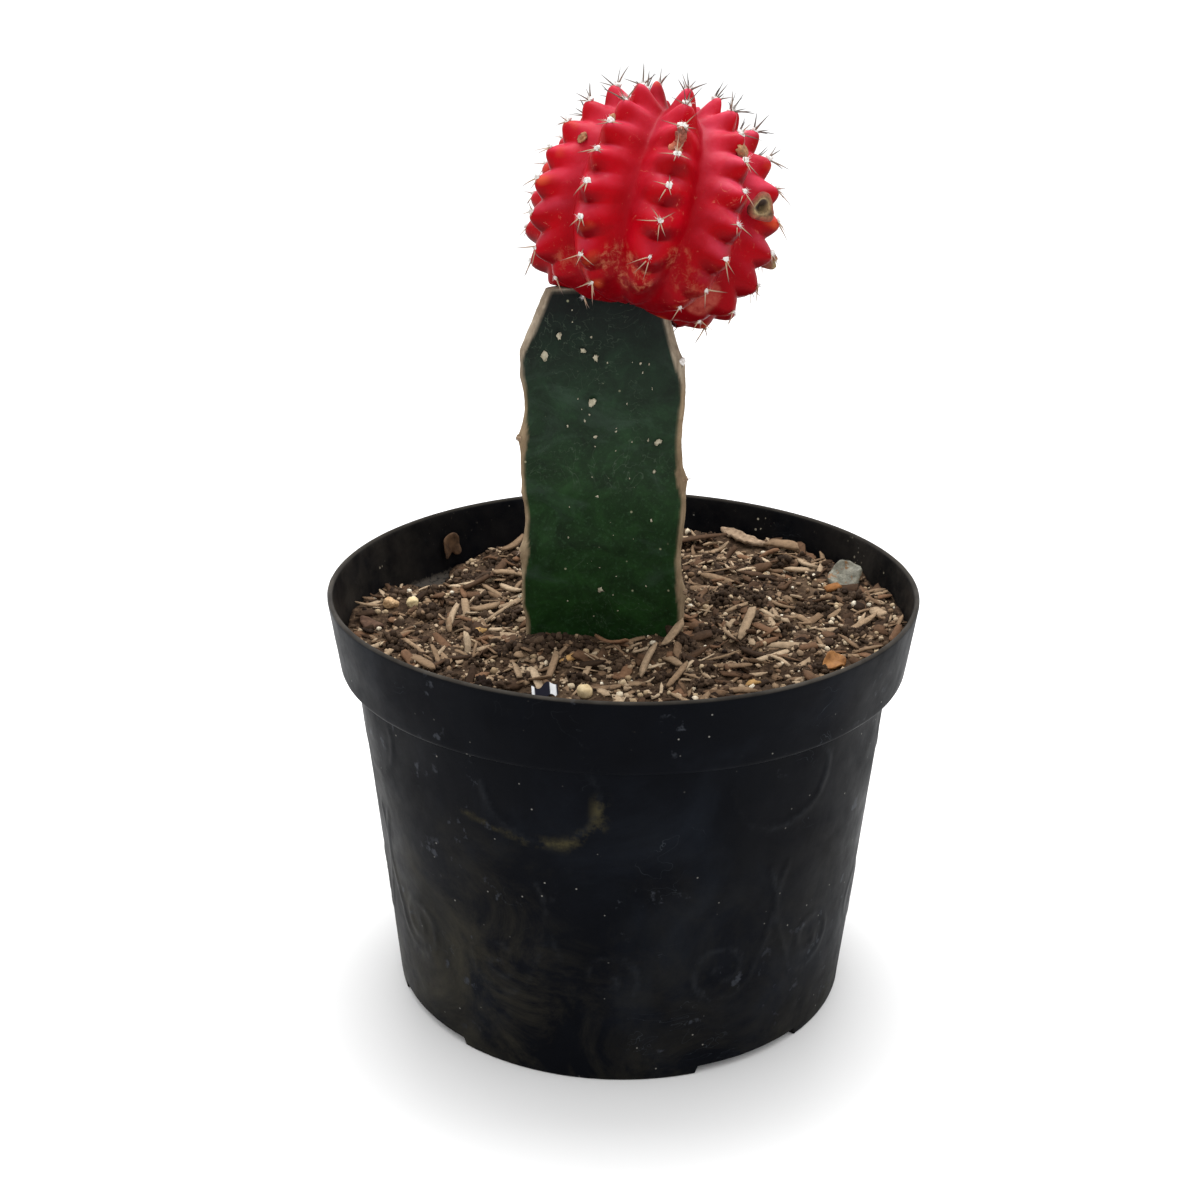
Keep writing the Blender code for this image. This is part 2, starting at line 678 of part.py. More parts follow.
def flake_points(size, sides, seed, grow):
    """An irregular flat flake: an uneven outline, drawn in at its upper and lower face."""
    length, width, thick = (0.5 * s for s in size)
    draw = random.Random(seed)
    points = []
    wobble = [draw.uniform(*FLAKE_UNEVENNESS) for _ in range(sides)]
    for level, inset in FLAKE_LEVELS:
        for step in range(sides):
            angle = 2 * math.pi * step / sides
            x = (length * wobble[step] * inset + grow) * math.cos(angle)
            y = (width * wobble[step] * inset + grow) * math.sin(angle)
            points.append((x, y, level * (thick + grow)))
    return points


def flake_body(name, points):
    """A closed body from the levels of a flake's outline."""
    rings = np.array(points).reshape(len(FLAKE_LEVELS), -1, 3)
    return loft(name, rings, rings[0].mean(axis=0), rings[-1].mean(axis=0))


def make_flake(name, piece, grow):
    """A loose piece on the soil, or a copy grown by a clearance to cut its seat."""
    (x, y), lift, size, turn, tilt, sides, seed = piece
    z = float(soil_height(x, y)) + lift
    points = flake_points(size, sides, seed, grow)
    return flake_body(name, place(points, x, y, z, math.radians(turn), math.radians(tilt)))


def make_wall_scrap():
    """A dry scrap stuck flat to the inside of the wall, above the soil."""
    x, y, z = WALL_SCRAP_SPOT
    angle = math.atan2(y, x)
    length, width, thick = WALL_SCRAP_SIZE
    slope = math.atan2(RIM_RADIUS - COLLAR_FOOT_RADIUS, COLLAR_DROP)
    wall_point = warp_rim([[inside_radius(z) * math.cos(angle), inside_radius(z) * math.sin(angle), z]])[0]
    inward = Vector((-math.cos(angle), -math.sin(angle), math.tan(slope))).normalized()
    sagitta = length**2 / (8 * inside_radius(z))
    centre = Vector(wall_point) + inward * (GAP + thick / 2 + sagitta)
    across = Vector((-math.sin(angle), math.cos(angle), 0))
    upward = inward.cross(across)
    points = flake_points((length, width, thick), WALL_SCRAP_SIDES, WALL_SCRAP_SEED, 0)
    points = [centre + across * px + upward * py + inward * pz for px, py, pz in points]
    dress(flake_body("wall_scrap", points), WALL_SCRAP_COLOUR, 0.9)


def main():
    """Builds every sub-part."""
    clear_scene()
    make_pot()
    make_rootstock()
    make_scion()
    cutters = [make_flake(name + "_seat", piece, GAP) for name, piece in LOOSE_PIECES.items()]
    make_soil(cutters)
    for name, piece in LOOSE_PIECES.items():
        dress(make_flake(name, piece, 0), LOOSE_COLOURS[name], 0.9)
    make_wall_scrap()


main()
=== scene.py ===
"""Looks of the potted moon cactus.

The red scion, the green rootstock, the soil with its litter and the black nursery pot are surfaces worked
out as arrays. Lengths are in metres, angles in degrees unless a name says otherwise. +Z is up and the front
faces -Y.
"""

import math
import random
from collections import namedtuple
from functools import reduce

import bpy
import numpy as np
from mathutils import Matrix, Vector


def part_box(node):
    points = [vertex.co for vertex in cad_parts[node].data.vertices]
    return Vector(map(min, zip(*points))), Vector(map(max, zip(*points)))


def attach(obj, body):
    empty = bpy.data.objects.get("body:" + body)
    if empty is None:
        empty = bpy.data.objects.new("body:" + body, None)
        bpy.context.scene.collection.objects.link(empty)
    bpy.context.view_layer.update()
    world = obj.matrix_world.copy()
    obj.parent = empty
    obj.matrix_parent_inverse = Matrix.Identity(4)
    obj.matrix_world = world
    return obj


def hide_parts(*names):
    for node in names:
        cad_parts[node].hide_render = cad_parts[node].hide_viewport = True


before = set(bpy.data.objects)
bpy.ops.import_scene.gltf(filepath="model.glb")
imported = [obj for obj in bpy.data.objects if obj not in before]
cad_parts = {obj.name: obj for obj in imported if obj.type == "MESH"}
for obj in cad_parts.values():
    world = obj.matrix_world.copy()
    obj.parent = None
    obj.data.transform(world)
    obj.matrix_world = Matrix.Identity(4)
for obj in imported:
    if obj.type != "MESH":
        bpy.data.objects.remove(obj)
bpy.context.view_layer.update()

# Camera, fitted to the photograph
CAMERA_PLACE = (0.0, -0.4667, 0.2893)
CAMERA_TARGET = (0.0, 0.0, 0.1100)
CAMERA_LENS = 58.35
CAMERA_SENSOR = 36.0
CAMERA_SHIFT = (-0.0199, -0.0156)
CAMERA_ROLL = 0.65

# Studio
SKY_LOW = 1.02
SKY_HIGH = 1.36
KEY_PLACE = (0.008, 0.30, 1.25)
KEY_TARGET = (0, 0, 0.14)
KEY_SIZE = 0.7
KEY_POWER = 13
FLOOR_SIZE = 40
FLOOR_TONE = 0.87

# Space between two solids that touch
GAP = 0.0003

# Pot
POT_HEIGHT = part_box("pot")[1].z
RIM_RADIUS = 0.075
COLLAR_DROP = 0.019
COLLAR_FOOT = POT_HEIGHT - COLLAR_DROP
COLLAR_FOOT_RADIUS = 0.0725
BODY_TOP_RADIUS = 0.0687
BASE_RADIUS = 0.0598
WALL = 0.0015
LIP = 0.0006
FOOT_HEIGHT = 0.0024
FOOT_WIDTH = 0.0030
FOOT_RADIUS = BASE_RADIUS - FOOT_WIDTH
FLOOR = 0.0018
LEDGE = COLLAR_FOOT + WALL
# The inner wall from the floor's edge up to the lip, as radius and height
INNER_WALL = (
    (BASE_RADIUS - WALL, FOOT_HEIGHT + FLOOR),
    (BODY_TOP_RADIUS - WALL, LEDGE - WALL / 2),
    (COLLAR_FOOT_RADIUS - WALL, LEDGE),
    (RIM_RADIUS - WALL, POT_HEIGHT - LIP),
)
FLAT_MIDDLE_RADIUS = 0.004
CORNER_BEND = 0.0006
PROFILE_STEP = 0.0011
POT_COLUMNS = 540
# On plain stretches of the profile one row in this many stays
PLAIN_ROWS = 12
BURIED_LOW = 0.008
BURIED_DEPTH = 0.014
RIM_WARP = 0.0005
# Waves of the warped rim: how many go round, their share, and where they start in radians
RIM_WAVES = ((2, 1.0, 0.6), (4, 0.6, -0.9))
# Uneven surfaces are layers of noise: height, size, seed and number of halvings
POT_DENTS = ((0.00018, 0.030, 3, 3), (0.00005, 0.004, 5, 3))
NOTCH_FIRST_ANGLE = 34
NOTCH_SPAN = 30
NOTCH_COUNT = 4
# Half of the way round, in radians, over which a notch slopes
NOTCH_SLOPE = 0.006
DRAIN_RADIUS = 0.0035
DRAIN_CIRCLE_RADIUS = 0.036
DRAIN_LOW = 0.0012
WALL_GIRTH = 2 * math.pi * 0.0642
SCROLL_HEIGHT = 0.00020
SCROLL_WIDTH = 0.0012
# Heights over which the scrolls rise from the wall low down, and over which they fade under the collar
SCROLLS_LOW = (0.006, 0.012)
SCROLLS_HIGH = (COLLAR_FOOT - 0.008, COLLAR_FOOT - 0.003)
VOLUTE_COUNT = 14
VOLUTE_START = -0.0028
VOLUTE_LEVEL = 0.031
VOLUTE_RADIUS = 0.0095
VOLUTE_TURNS = 1.6
VOLUTE_STEM = 0.026
SWAG_RADIUS = 0.0150
SWAG_LEVEL = 0.084
SWAG_SHIFT = 0.044
# The bent smear of ochre dust on the front wall, as ways round from the front and heights
SMEAR_TRACK = ((-0.040, 0.0725), (-0.031, 0.0705), (-0.023, 0.0685), (-0.012, 0.0690), (-0.005, 0.0745),
               (-0.0045, 0.0815))
SMEAR_WIDTH = 0.0007
SMEAR_WIDENING = 0.0014
# Heights over which the dust fades, on the whole wall and at its foot
DUST_FADE = (0.020, 0.085)
DUST_FOOT_FADE = (0.003, 0.014)
# Cream splashes on the inner wall: place and reach
SPLASHES = ((0.0400, 0.0605, 0.1045, 0.0045), (0.0635, 0.0355, 0.1055, 0.0055),
            (0.0690, 0.0220, 0.1030, 0.0030), (-0.0665, 0.0300, 0.1010, 0.0028))

# Potting soil
SOIL_LEVEL = 0.0992
SOIL_SLOPE = 0.030
SOIL_DIP = 0.0066
SOIL_DIP_CENTRE = (-0.056, 0.046)
SOIL_DIP_REACH = 0.017
# Waves of the surface: radians per metre along X and along Y, and where they start
SOIL_SWELL = ((210, 90, 0.4), (-140, 260, 1.9))
SOIL_SWELL_HEIGHT = 0.0005
SOIL_RIPPLE = ((430, -310, 2.2), (370, 520, 4.0))
SOIL_RIPPLE_HEIGHT = 0.0003
SOIL_LUMPS = ((0.0010, 0.0065, 21, 4),)
SOIL_GRAIN_HEIGHT = 0.0003
SOIL_GRAIN_SIZE = 0.0011
SOIL_EDGE = 0.0695
SOIL_SIDE_LEVELS = (0.03, 0.06, 0.08, 0.089)
SOIL_COLUMNS = 420
SOIL_ROWS = 96

# Loose pieces: slot, distance that scattered bits keep, spot, height of the middle above the soil, size,
# turn, tilt, sides of the outline, seed, fullness of the edge, curl and roughness
Loose = namedtuple("Loose", "slot clear spot lift size turn tilt sides seed fullness curl rough")
LOOSE_PIECES = {
    "cream_pebble": Loose("pale_grain", 0.0030, (-0.0089, -0.0485), 0.0012, (0.0044, 0.0042, 0.0036),
                          20, 10, 9, 3, 1.0, 0.0, 0.07),
    "cream_grain_left": Loose("pale_grain", 0.0034, (-0.0618, 0.0112), 0.0010, (0.0052, 0.0036, 0.0030),
                              35, 12, 8, 4, 0.9, -0.15, 0.20),
    "cream_grain_right": Loose("pale_grain", 0.0028, (-0.0556, 0.0105), 0.0010, (0.0036, 0.0034, 0.0032),
                               80, 15, 8, 5, 1.0, 0.15, 0.10),
    "stone_flake": Loose("grey_stone", 0.0055, (0.0592, 0.0245), 0.0013, (0.0115, 0.0080, 0.0022),
                         25, 24, 9, 6, 0.22, 0.06, 0.28),
    "amber_chip": Loose("amber_stone", 0.0042, (0.0516, -0.0316), 0.0011, (0.0080, 0.0052, 0.0009),
                        40, 24, 8, 7, 0.12, 0.10, 0.26),
    "dark_bark": Loose("dark_bark", 0.0040, (-0.0655, 0.0005), 0.0010, (0.0110, 0.0042, 0.0020),
                       -48, 14, 8, 8, 0.35, 0.08, 0.10),
    "plastic_scrap": Loose("scrap_plastic", 0.0038, (-0.0184, -0.0451), 0.0013, (0.0062, 0.0040, 0.0010),
                           8, 42, 6, 10, 0.25, 0.10, 0.06),
    "bark_strip": Loose("tan_bark", 0.0050, (0.0340, 0.0568), 0.0021, (0.0225, 0.0034, 0.0013),
                        -49, 22, 8, 9, 0.22, -0.01, 0.035),
}
# Both ends of the bark strip, as spots and the distance that scattered bits keep
STRIP_ENDS = ((0.0395, 0.0505, 0.0030), (0.0285, 0.0630, 0.0030))
KEPT_CLEAR = tuple((*piece.spot, piece.clear) for piece in LOOSE_PIECES.values()) + STRIP_ENDS
NUGGET_COLUMNS = 72
# Least and largest share of the radius at a corner of a loose piece's outline
CORNER_SHARE = (0.78, 1.05)
WALL_SCRAP_SPOT = (-0.0495, 0.0525, 0.1002)
WALL_SCRAP_SIZE = (0.0072, 0.0076, 0.0009)
# Lobes and dents of the wall scrap's outline: height, direction and reach round it
WALL_SCRAP_LOBES = ((-0.72, 266, 14), (0.36, 240, 9), (-0.16, 292, 14), (-0.30, 10, 26), (-0.30, 172, 26),
                    (-0.30, 370, 26))
FILM_SHEET_SHARE = 0.28
# Painted white glints across the film scrap, as bands: middle and half width along its length
FILM_GLINT_BANDS = ((0.31, 0.12), (-0.45, 0.07))

# Larger chips of each kind: x, y, lift of the middle, length, width, turn, tilt, tone
PLACED_CHIPS = {
    "tan": (
        (-0.0390, -0.0176, 0.0020, 0.0062, 0.0017, 100, 62, 0.95),
        (-0.0443, 0.0008, 0.0012, 0.0100, 0.0018, 82, 14, 0.75),
        (-0.0415, 0.0080, 0.0012, 0.0090, 0.0022, 97, 18, 0.60),
        (-0.0360, 0.0070, 0.0010, 0.0070, 0.0034, 18, 6, 0.50),
        (-0.0322, 0.0036, 0.0012, 0.0098, 0.0020, 53, 8, 0.65),
        (-0.0304, 0.0195, 0.0012, 0.0098, 0.0018, -53, 8, 0.85),
        (-0.0394, 0.0194, 0.0012, 0.0070, 0.0017, 58, 12, 0.75),
        (-0.0318, 0.0557, 0.0016, 0.0100, 0.0024, 53, 10, 0.30),
        (-0.0490, -0.0300, 0.0010, 0.0130, 0.0026, -58, 6, 0.35),
        (-0.0172, -0.0328, 0.0018, 0.0120, 0.0018, 78, 20, 0.45),
        (0.0059, -0.0300, 0.0020, 0.0120, 0.0018, 70, 22, 0.65),
        (0.0118, -0.0286, 0.0016, 0.0110, 0.0020, -66, 12, 0.55),
        (0.0312, -0.0102, 0.0022, 0.0115, 0.0024, 69, 24, 0.65),
        (0.0125, -0.0175, 0.0024, 0.0085, 0.0022, 48, 30, 0.60),
        (0.0418, 0.0080, 0.0012, 0.0100, 0.0030, -53, 6, 0.40),
        (0.0455, 0.0135, 0.0022, 0.0120, 0.0018, -86, 20, 0.80),
        (0.0502, 0.0350, 0.0016, 0.0110, 0.0024, -73, 10, 0.75),
        (0.0480, 0.0310, 0.0012, 0.0082, 0.0020, -19, 4, 0.70),
        (0.0446, 0.0470, 0.0020, 0.0095, 0.0030, -32, 3, 0.35),
        (0.0130, -0.0410, 0.0016, 0.0100, 0.0016, 60, 16, 0.40),
        (0.0560, -0.0090, 0.0014, 0.0085, 0.0014, -76, 10, 0.80),
        (0.0655, -0.0010, 0.0012, 0.0060, 0.0034, -66, 6, 0.70),
    ),
    "bark": (
        (-0.0352, 0.0468, 0.0014, 0.0120, 0.0026, -41, 4, 0.80),
        (0.0190, 0.0550, 0.0016, 0.0150, 0.0050, 8, 8, 0.45),
        (-0.0030, -0.0168, 0.0022, 0.0098, 0.0024, -38, 8, 1.00),
        (0.0335, -0.0242, 0.0014, 0.0125, 0.0034, -46, 6, 0.10),
    ),
    "orange": (
        (0.0555, 0.0160, 0.0012, 0.0042, 0.0030, 20, 10, 0.30),
        (-0.0130, -0.0300, 0.0014, 0.0050, 0.0020, 20, 16, 0.90),
        (0.0310, -0.0420, 0.0012, 0.0026, 0.0020, 10, 10, 0.95),
        (-0.0370, -0.0070, 0.0014, 0.0030, 0.0022, 30, 10, 1.00),
    ),
}
CHIP_THICKNESS = 0.0007
# Spread of the bends of a sliver, upwards and aside
SLIVER_BEND = (0.18, 0.12)
SLIVER_STATIONS = 6
# Scattered slivers: name, kind, count, least and largest length, width and thickness, spread of the tilt
SLIVERS = (
    ("long_slivers", "tan", 150, ((0.0060, 0.0130), (0.0010, 0.0024), (0.0003, 0.0006)), 0.14),
    ("short_slivers", "tan", 600, ((0.0020, 0.0062), (0.0006, 0.0020), (0.0002, 0.0005)), 0.26),
    ("bark_bits", "bark", 330, ((0.0025, 0.0085), (0.0014, 0.0034), (0.0003, 0.0008)), 0.20),
)
# The few large clods: count, least and largest size, squash, unevenness, rings and columns of each, lift
# above the soil, crumbling
BIG_CLODS = (12, (0.0014, 0.0028), 0.55, 0.2, (19, 30), 0.0, 1.3)
# Scattered crumbs: name, kind, then the same as for the large clods
CRUMBS = (
    ("clods", "clod", 300, (0.0006, 0.0020), 0.55, 0.5, (6, 9), 0.0, 1.3),
    ("crumbs", "clod", 2600, (0.00025, 0.0008), 0.9, 0.6, (3, 6), 0.3, 0.0),
    ("tan_crumbs", "tan", 2400, (0.00022, 0.0009), 0.7, 0.7, (3, 6), 0.5, 0.0),
    ("pale_grains", "cream", 620, (0.00025, 0.0010), 0.9, 0.3, (3, 6), 0.5, 0.0),
)
SCATTER_RADIUS = 0.0722
SCATTER_MARGIN = 0.0012
WALL_MARGIN = 0.0006
STEM_MARGIN = 0.0008
STEM_PUSH = 0.0015
HEAP_MARGIN = 0.004
# Heaps of crumbs at the stem's foot and on the left: x, y, reach; and the number of others
PLACED_HEAPS = (
    (-0.0268, -0.0205, 0.0030),
    (-0.0213, -0.0182, 0.0042),
    (-0.0160, -0.0170, 0.0030),
    (-0.0097, -0.0164, 0.0032),
    (-0.0500, 0.0050, 0.0040),
)
HEAP_COUNT = 100
HEAP_CRUMBS = 46
HEAP_REACH = (0.0014, 0.0032)
# Size of a heap's crumbs and height of the heap, as shares of its reach
HEAP_CRUMB_SHARE = (0.16, 0.36)
HEAP_RISE = 0.85

# Rootstock
STEM_X = -0.0056
STEM_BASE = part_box("rootstock")[0].z
STEM_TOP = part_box("rootstock")[1].z
STEM_FOOT_TAPER = 0.010
BEVEL_TOP_RADIUS = 0.0160
FACE_HOLLOW = 0.0009
AREOLE_SPACING_ON_RIB = 0.0295
KNOT_ABOVE_CREST = 0.0065
KNOT_ABOVE_SOIL = 0.003
KNOT_PAST_BEVEL = 0.004
# Each rib: direction, reach at the soil and at the top, wave, height of a crest, start of its bevel
STEM_RIBS = (
    (90, 0.0234, 0.0223, 0.0009, 0.1250, 0.1720),
    (210, 0.0229, 0.0229, 0.0011, 0.1155, 0.1735),
    (330, 0.0238, 0.0218, 0.0006, 0.1055, 0.1705),
)
MARGIN_DEPTH = 0.0034
MARGIN_HALF = 0.0018
MARGIN_STEPS = 18
FACE_STEPS = 30
STEM_ROWS = 190
PLAIN_STEM_ROWS = 60
# Width of the cork on the margins: everywhere, more on the right and more on the bevel
CORK_WIDTH = 0.00030
CORK_WIDTH_RIGHT = 0.00035
CORK_WIDTH_BEVEL = 0.0009
# Heights over which the wider cork of the bevel starts
CORK_BEVEL_START = (0.170, 0.175)
CORK_WAVER = ((0.0003, 0.006, 41, 3),)
CORK_CRUST = ((0.00022, 0.0017, 47, 3),)
STEM_SWELL = ((0.00016, 0.012, 43, 3), (0.00003, 0.0016, 44, 2))
# Knots: width and reach of their cork, then their height and reach
KNOT_CORK = 0.0013
KNOT_CORK_REACH = 0.0030
KNOT_HEIGHT = 0.0008
KNOT_REACH = 0.0018
FELT_SIZE = (0.0006, 0.0010)
TUFT_SIZE = (0.0011, 0.0012)
# The knots on the right above this height have white tufts
TUFT_ABOVE = 0.165
STEM_SPINES_EACH = 3
STEM_SPINE_LENGTH = (0.0008, 0.0020)
STEM_SPINE_RADIUS = 0.00022
SCAR_COUNT = 110
SCAR_SIZE = (0.00012, 0.00034)
LOWEST_SCAR_ROW = 22
FRONT_FACE_Y = -0.0113
# Large scars on the front face: way across from the stem's axis, height, size
LARGE_SCARS = ((-0.0140, 0.1719, 0.0010), (-0.0019, 0.1718, 0.0008), (-0.0026, 0.1606, 0.0009),
               (0.0135, 0.1509, 0.0008), (-0.0048, 0.1735, 0.0005), (-0.0004, 0.1120, 0.0006),
               (-0.0106, 0.1770, 0.0006), (0.0128, 0.1432, 0.0004))

# Scion
SCION_CENTRE = np.array((0.0064, 0.0, 0.2058))
SCION_AXIS = np.array((0.232, 0.404, 0.885))
CREST_RADIUS = 0.0266
BULGE = 0.0034
BULGE_LATITUDE = -42
BULGE_REACH = 36
TUBERCLE_HEIGHT = 0.0030
FURROW_DEPTH = 0.0050
CROWN_DEPTH = 0.0050
CROWN_REACH = 21
BASE_DEPTH = 0.0030
BASE_REACH = 22
RIBS = 10
AREOLE_STEP = 15.0
LOWEST_AREOLE = -4
HIGHEST_AREOLE = 5
HIGHEST_LATITUDE = 76
AREOLE_CLEARANCE = 0.0015
RIB_SHIFT = np.array((-3.5, 6, 5, -4, 5, -3, 6, -4, -5, 7))
CHIN_LEAD = 0.15
CHIN_LEAN = 0.24
CHIN_BLUNTNESS = 0.42
FLANK_SHARPNESS = 0.45
RIDGE_RISE = 0.16
BARE_RIB = 0
BARE_BELOW = -40
CROWN_GAIN = 0.38
NOSE_SPREAD = 0.44
NOSE_SHARE = 0.84
SKIN_BUMPS = ((0.00026, 0.006, 61, 3), (0.00004, 0.0012, 67, 2))
SCION_COLUMNS = 400
SCION_ROWS = 236
SPINE_RADIUS = 0.00017
SPINE_LENGTH = (0.0030, 0.0058)
# The spines of an areole: turn about it from straight up, and lean away from its outward direction
SPINE_FAN = ((-112, 60), (-160, 52), (168, 56), (118, 60), (-45, 48), (40, 44), (0, 22))
SPREAD_SPINES = 4
SPINE_TURN_SPREAD = 13
SPINE_LEAN_SPREAD = 9
CUSHION_RADIUS = 0.00068
CUSHION_SPREAD = (0.75, 1.3)
HAIRS_EACH = 34
HAIR_LENGTH = (0.0007, 0.0016)
HAIR_RADIUS = 0.00005
# Scuffed patches on the front of the head: x, z, reach, strength
SCUFFS = (
    (-0.0025, 0.1985, 0.0058, 0.85),
    (0.0015, 0.1945, 0.0050, 1.00),
    (0.0112, 0.1990, 0.0042, 0.80),
    (-0.0135, 0.1965, 0.0048, 0.45),
    (0.0140, 0.1935, 0.0050, 0.40),
)
# A pale oval patch low on the right of the front: x, z, reach
PALE_PATCH = (0.0172, 0.1890, 0.0050)
# Dry knobs and crusts on the head: latitude, longitude, size
TAN_KNOBS = ((30, -41, 0.0014), (29, 38, 0.0018), (20, -62, 0.0013), (-12, 88, 0.0012), (46, 118, 0.0015),
             (12, 152, 0.0018))
CRUST_RIB = 0
CRUST_SPAN = (14, 24)
CRUST_BEADS = 14
CRUST_BEAD_SIZE = (0.0007, 0.0012)
# Dried stubs: direction and distance from the head's centre, direction of the hollow mouth, size, how far it
# is drawn out
STUBS = (
    ((0.86, -0.50, 0.10), 0.0287, (0.34, -0.92, 0.20), 0.0035, 0.70),
    ((0.91, -0.10, -0.40), 0.0304, (0.88, -0.38, -0.28), 0.0022, 2.0),
)
STUB_MOUTH = 64
STUB_PIT = 46


def corner_value(x, y, z, seed):
    """A repeatable random value from 0 to 1 for each corner of a unit lattice, by mixing whole numbers."""
    mixed = x * 374761393 + y * 668265263 + z * 1440662683 + seed * 974634777
    mixed = (mixed ^ (mixed >> 13)) * 1274126177
    return ((mixed ^ (mixed >> 16)) & 0xFFFFFF) / 0xFFFFFF


def smooth_noise(points, size, seed):
    """Noise from -1 to 1: values at the corners of a lattice of that size, blended by an S-curve."""
    scaled = np.asarray(points, dtype=float) / size
    base = np.floor(scaled).astype(np.int64)
    t = scaled - base
    t = t * t * (3 - 2 * t)
    total = np.zeros(scaled.shape[:-1])
    for corner in np.ndindex(2, 2, 2):
        weight = np.ones_like(total)
        for axis in range(3):
            weight = weight * (t[..., axis] if corner[axis] else 1 - t[..., axis])
        place = [base[..., axis] + corner[axis] for axis in range(3)]
        total += weight * corner_value(*place, seed)
    return 2 * total - 1


def rough_noise(points, size, seed, halvings):
    """Layers of smooth noise, each half as large and half as strong as the one before."""
    total = 0
    for layer in range(halvings):
        total = total + smooth_noise(points, size / 2**layer, seed + layer) / 2**layer
    return total / 1.6


def rise(value, low, high):
    """Rises smoothly from 0 at low to 1 at high."""
    t = np.clip((value - low) / (high - low), 0, 1)
    return t * t * (3 - 2 * t)


def fall(value, low, high):
    """Falls smoothly from 1 at low to 0 at high."""
    return rise(-value, -high, -low)


def bell(way):
    """A bell curve of a way: 1 in its middle, falling with the square of the way."""
    return np.exp(-(way**2))


def uneven(points, layers):
    """The sum of a few layers of rough noise, each with its height, size, seed and number of halvings."""
    return sum(height * rough_noise(points, size, seed, halvings) for height, size, seed, halvings in layers)


def polar(radius, angle, height):
    """Points round the Z axis."""
    return np.stack(np.broadcast_arrays(radius * np.cos(angle), radius * np.sin(angle), height), -1)


def unit(vectors):
    """Vectors scaled to length 1."""
    vectors = np.asarray(vectors, dtype=float)
    return vectors / np.linalg.norm(vectors, axis=-1, keepdims=True)


def cross_frame(direction):
    """Two unit vectors square to each direction and to each other."""
    helper = np.where(np.abs(direction[..., 2:3]) < 0.9, (0.0, 0.0, 1.0), (1.0, 0.0, 0.0))
    side = unit(np.cross(direction, helper))
    return side, np.cross(direction, side)


def grid_faces(rows, columns):
    """The four-cornered faces of a grid whose columns run round and meet."""
    row, column = np.meshgrid(np.arange(rows - 1), np.arange(columns), indexing="ij")
    a = row * columns + column
    b = row * columns + (column + 1) % columns
    return np.stack([a, b, b + columns, a + columns], -1).reshape(-1, 4)


def fan_faces(columns, first_row_start, centre, up):
    """Triangles from a centre point to each edge of one row, turned up or down."""
    a = first_row_start + np.arange(columns)
    b = first_row_start + (np.arange(columns) + 1) % columns
    middle = np.full(columns, centre)
    return np.stack([middle, a, b] if up else [middle, b, a], -1)


def stack_faces(rows, columns):
    """The faces of closed rings whose start and end points follow the points of the rings."""
    last = rows * columns
    return [
        grid_faces(rows, columns),
        fan_faces(columns, 0, last, False),
        fan_faces(columns, last - columns, last + 1, True),
    ]


def closed_stack(rings, start, end):
    """Points and faces of a closed body: rings that turn anticlockwise as they climb, and two end points."""
    return np.vstack([rings.reshape(-1, 3), start, end]), stack_faces(*rings.shape[:2])


def repeat_faces(faces, copies, points_each):
    """The faces of many copies of one shape whose points follow each other."""
    offsets = (np.arange(copies) * points_each)[:, None, None]
    return [(offsets + f[None]).reshape(-1, f.shape[1]) for f in faces]


def add_piece(name, points, faces, slot, look, replaces=(), values=None, smooth=True, sharp_angle=None):
    """A piece of the object from arrays, with per-point values for its material to read."""
    mesh = bpy.data.meshes.new(name)
    points = np.asarray(points, dtype=np.float32).reshape(-1, 3)
    mesh.vertices.add(len(points))
    mesh.vertices.foreach_set("co", points.ravel())
    corners = np.concatenate([f.ravel() for f in faces]).astype(np.int32)
    sizes = np.concatenate([np.full(len(f), f.shape[1]) for f in faces])
    starts = np.concatenate([[0], np.cumsum(sizes)[:-1]]).astype(np.int32)
    mesh.loops.add(len(corners))
    mesh.loops.foreach_set("vertex_index", corners)
    mesh.polygons.add(len(starts))
    mesh.polygons.foreach_set("loop_start", starts)
    mesh.update(calc_edges=True)
    for key, value in (values or {}).items():
        attribute = mesh.attributes.new(key, "FLOAT", "POINT")
        attribute.data.foreach_set("value", np.asarray(value, dtype=np.float32).ravel())
    if smooth:
        mesh.shade_smooth()
    if sharp_angle is not None:
        mesh.set_sharp_from_angle(angle=math.radians(sharp_angle))
    piece = bpy.data.objects.new(name, mesh)
    bpy.context.scene.collection.objects.link(piece)
    mesh.materials.append(look)
    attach(piece, "root")
    if replaces:
        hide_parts(*replaces)
    return piece


def cut(piece, points, faces):
    """Cuts a closed body out of a piece."""
    mesh = bpy.data.meshes.new("cutter")
    mesh.from_pydata(np.asarray(points).tolist(), [], [tuple(c) for f in faces for c in f.tolist()])
    cutter = bpy.data.objects.new("cutter", mesh)
    bpy.context.scene.collection.objects.link(cutter)
    modifier = piece.modifiers.new("Cut", "BOOLEAN")
    modifier.operation = "DIFFERENCE"
    modifier.solver = "MANIFOLD"
    modifier.object = cutter
    bpy.context.view_layer.objects.active = piece
    bpy.ops.object.modifier_apply(modifier=modifier.name)
    bpy.data.objects.remove(cutter, do_unlink=True)


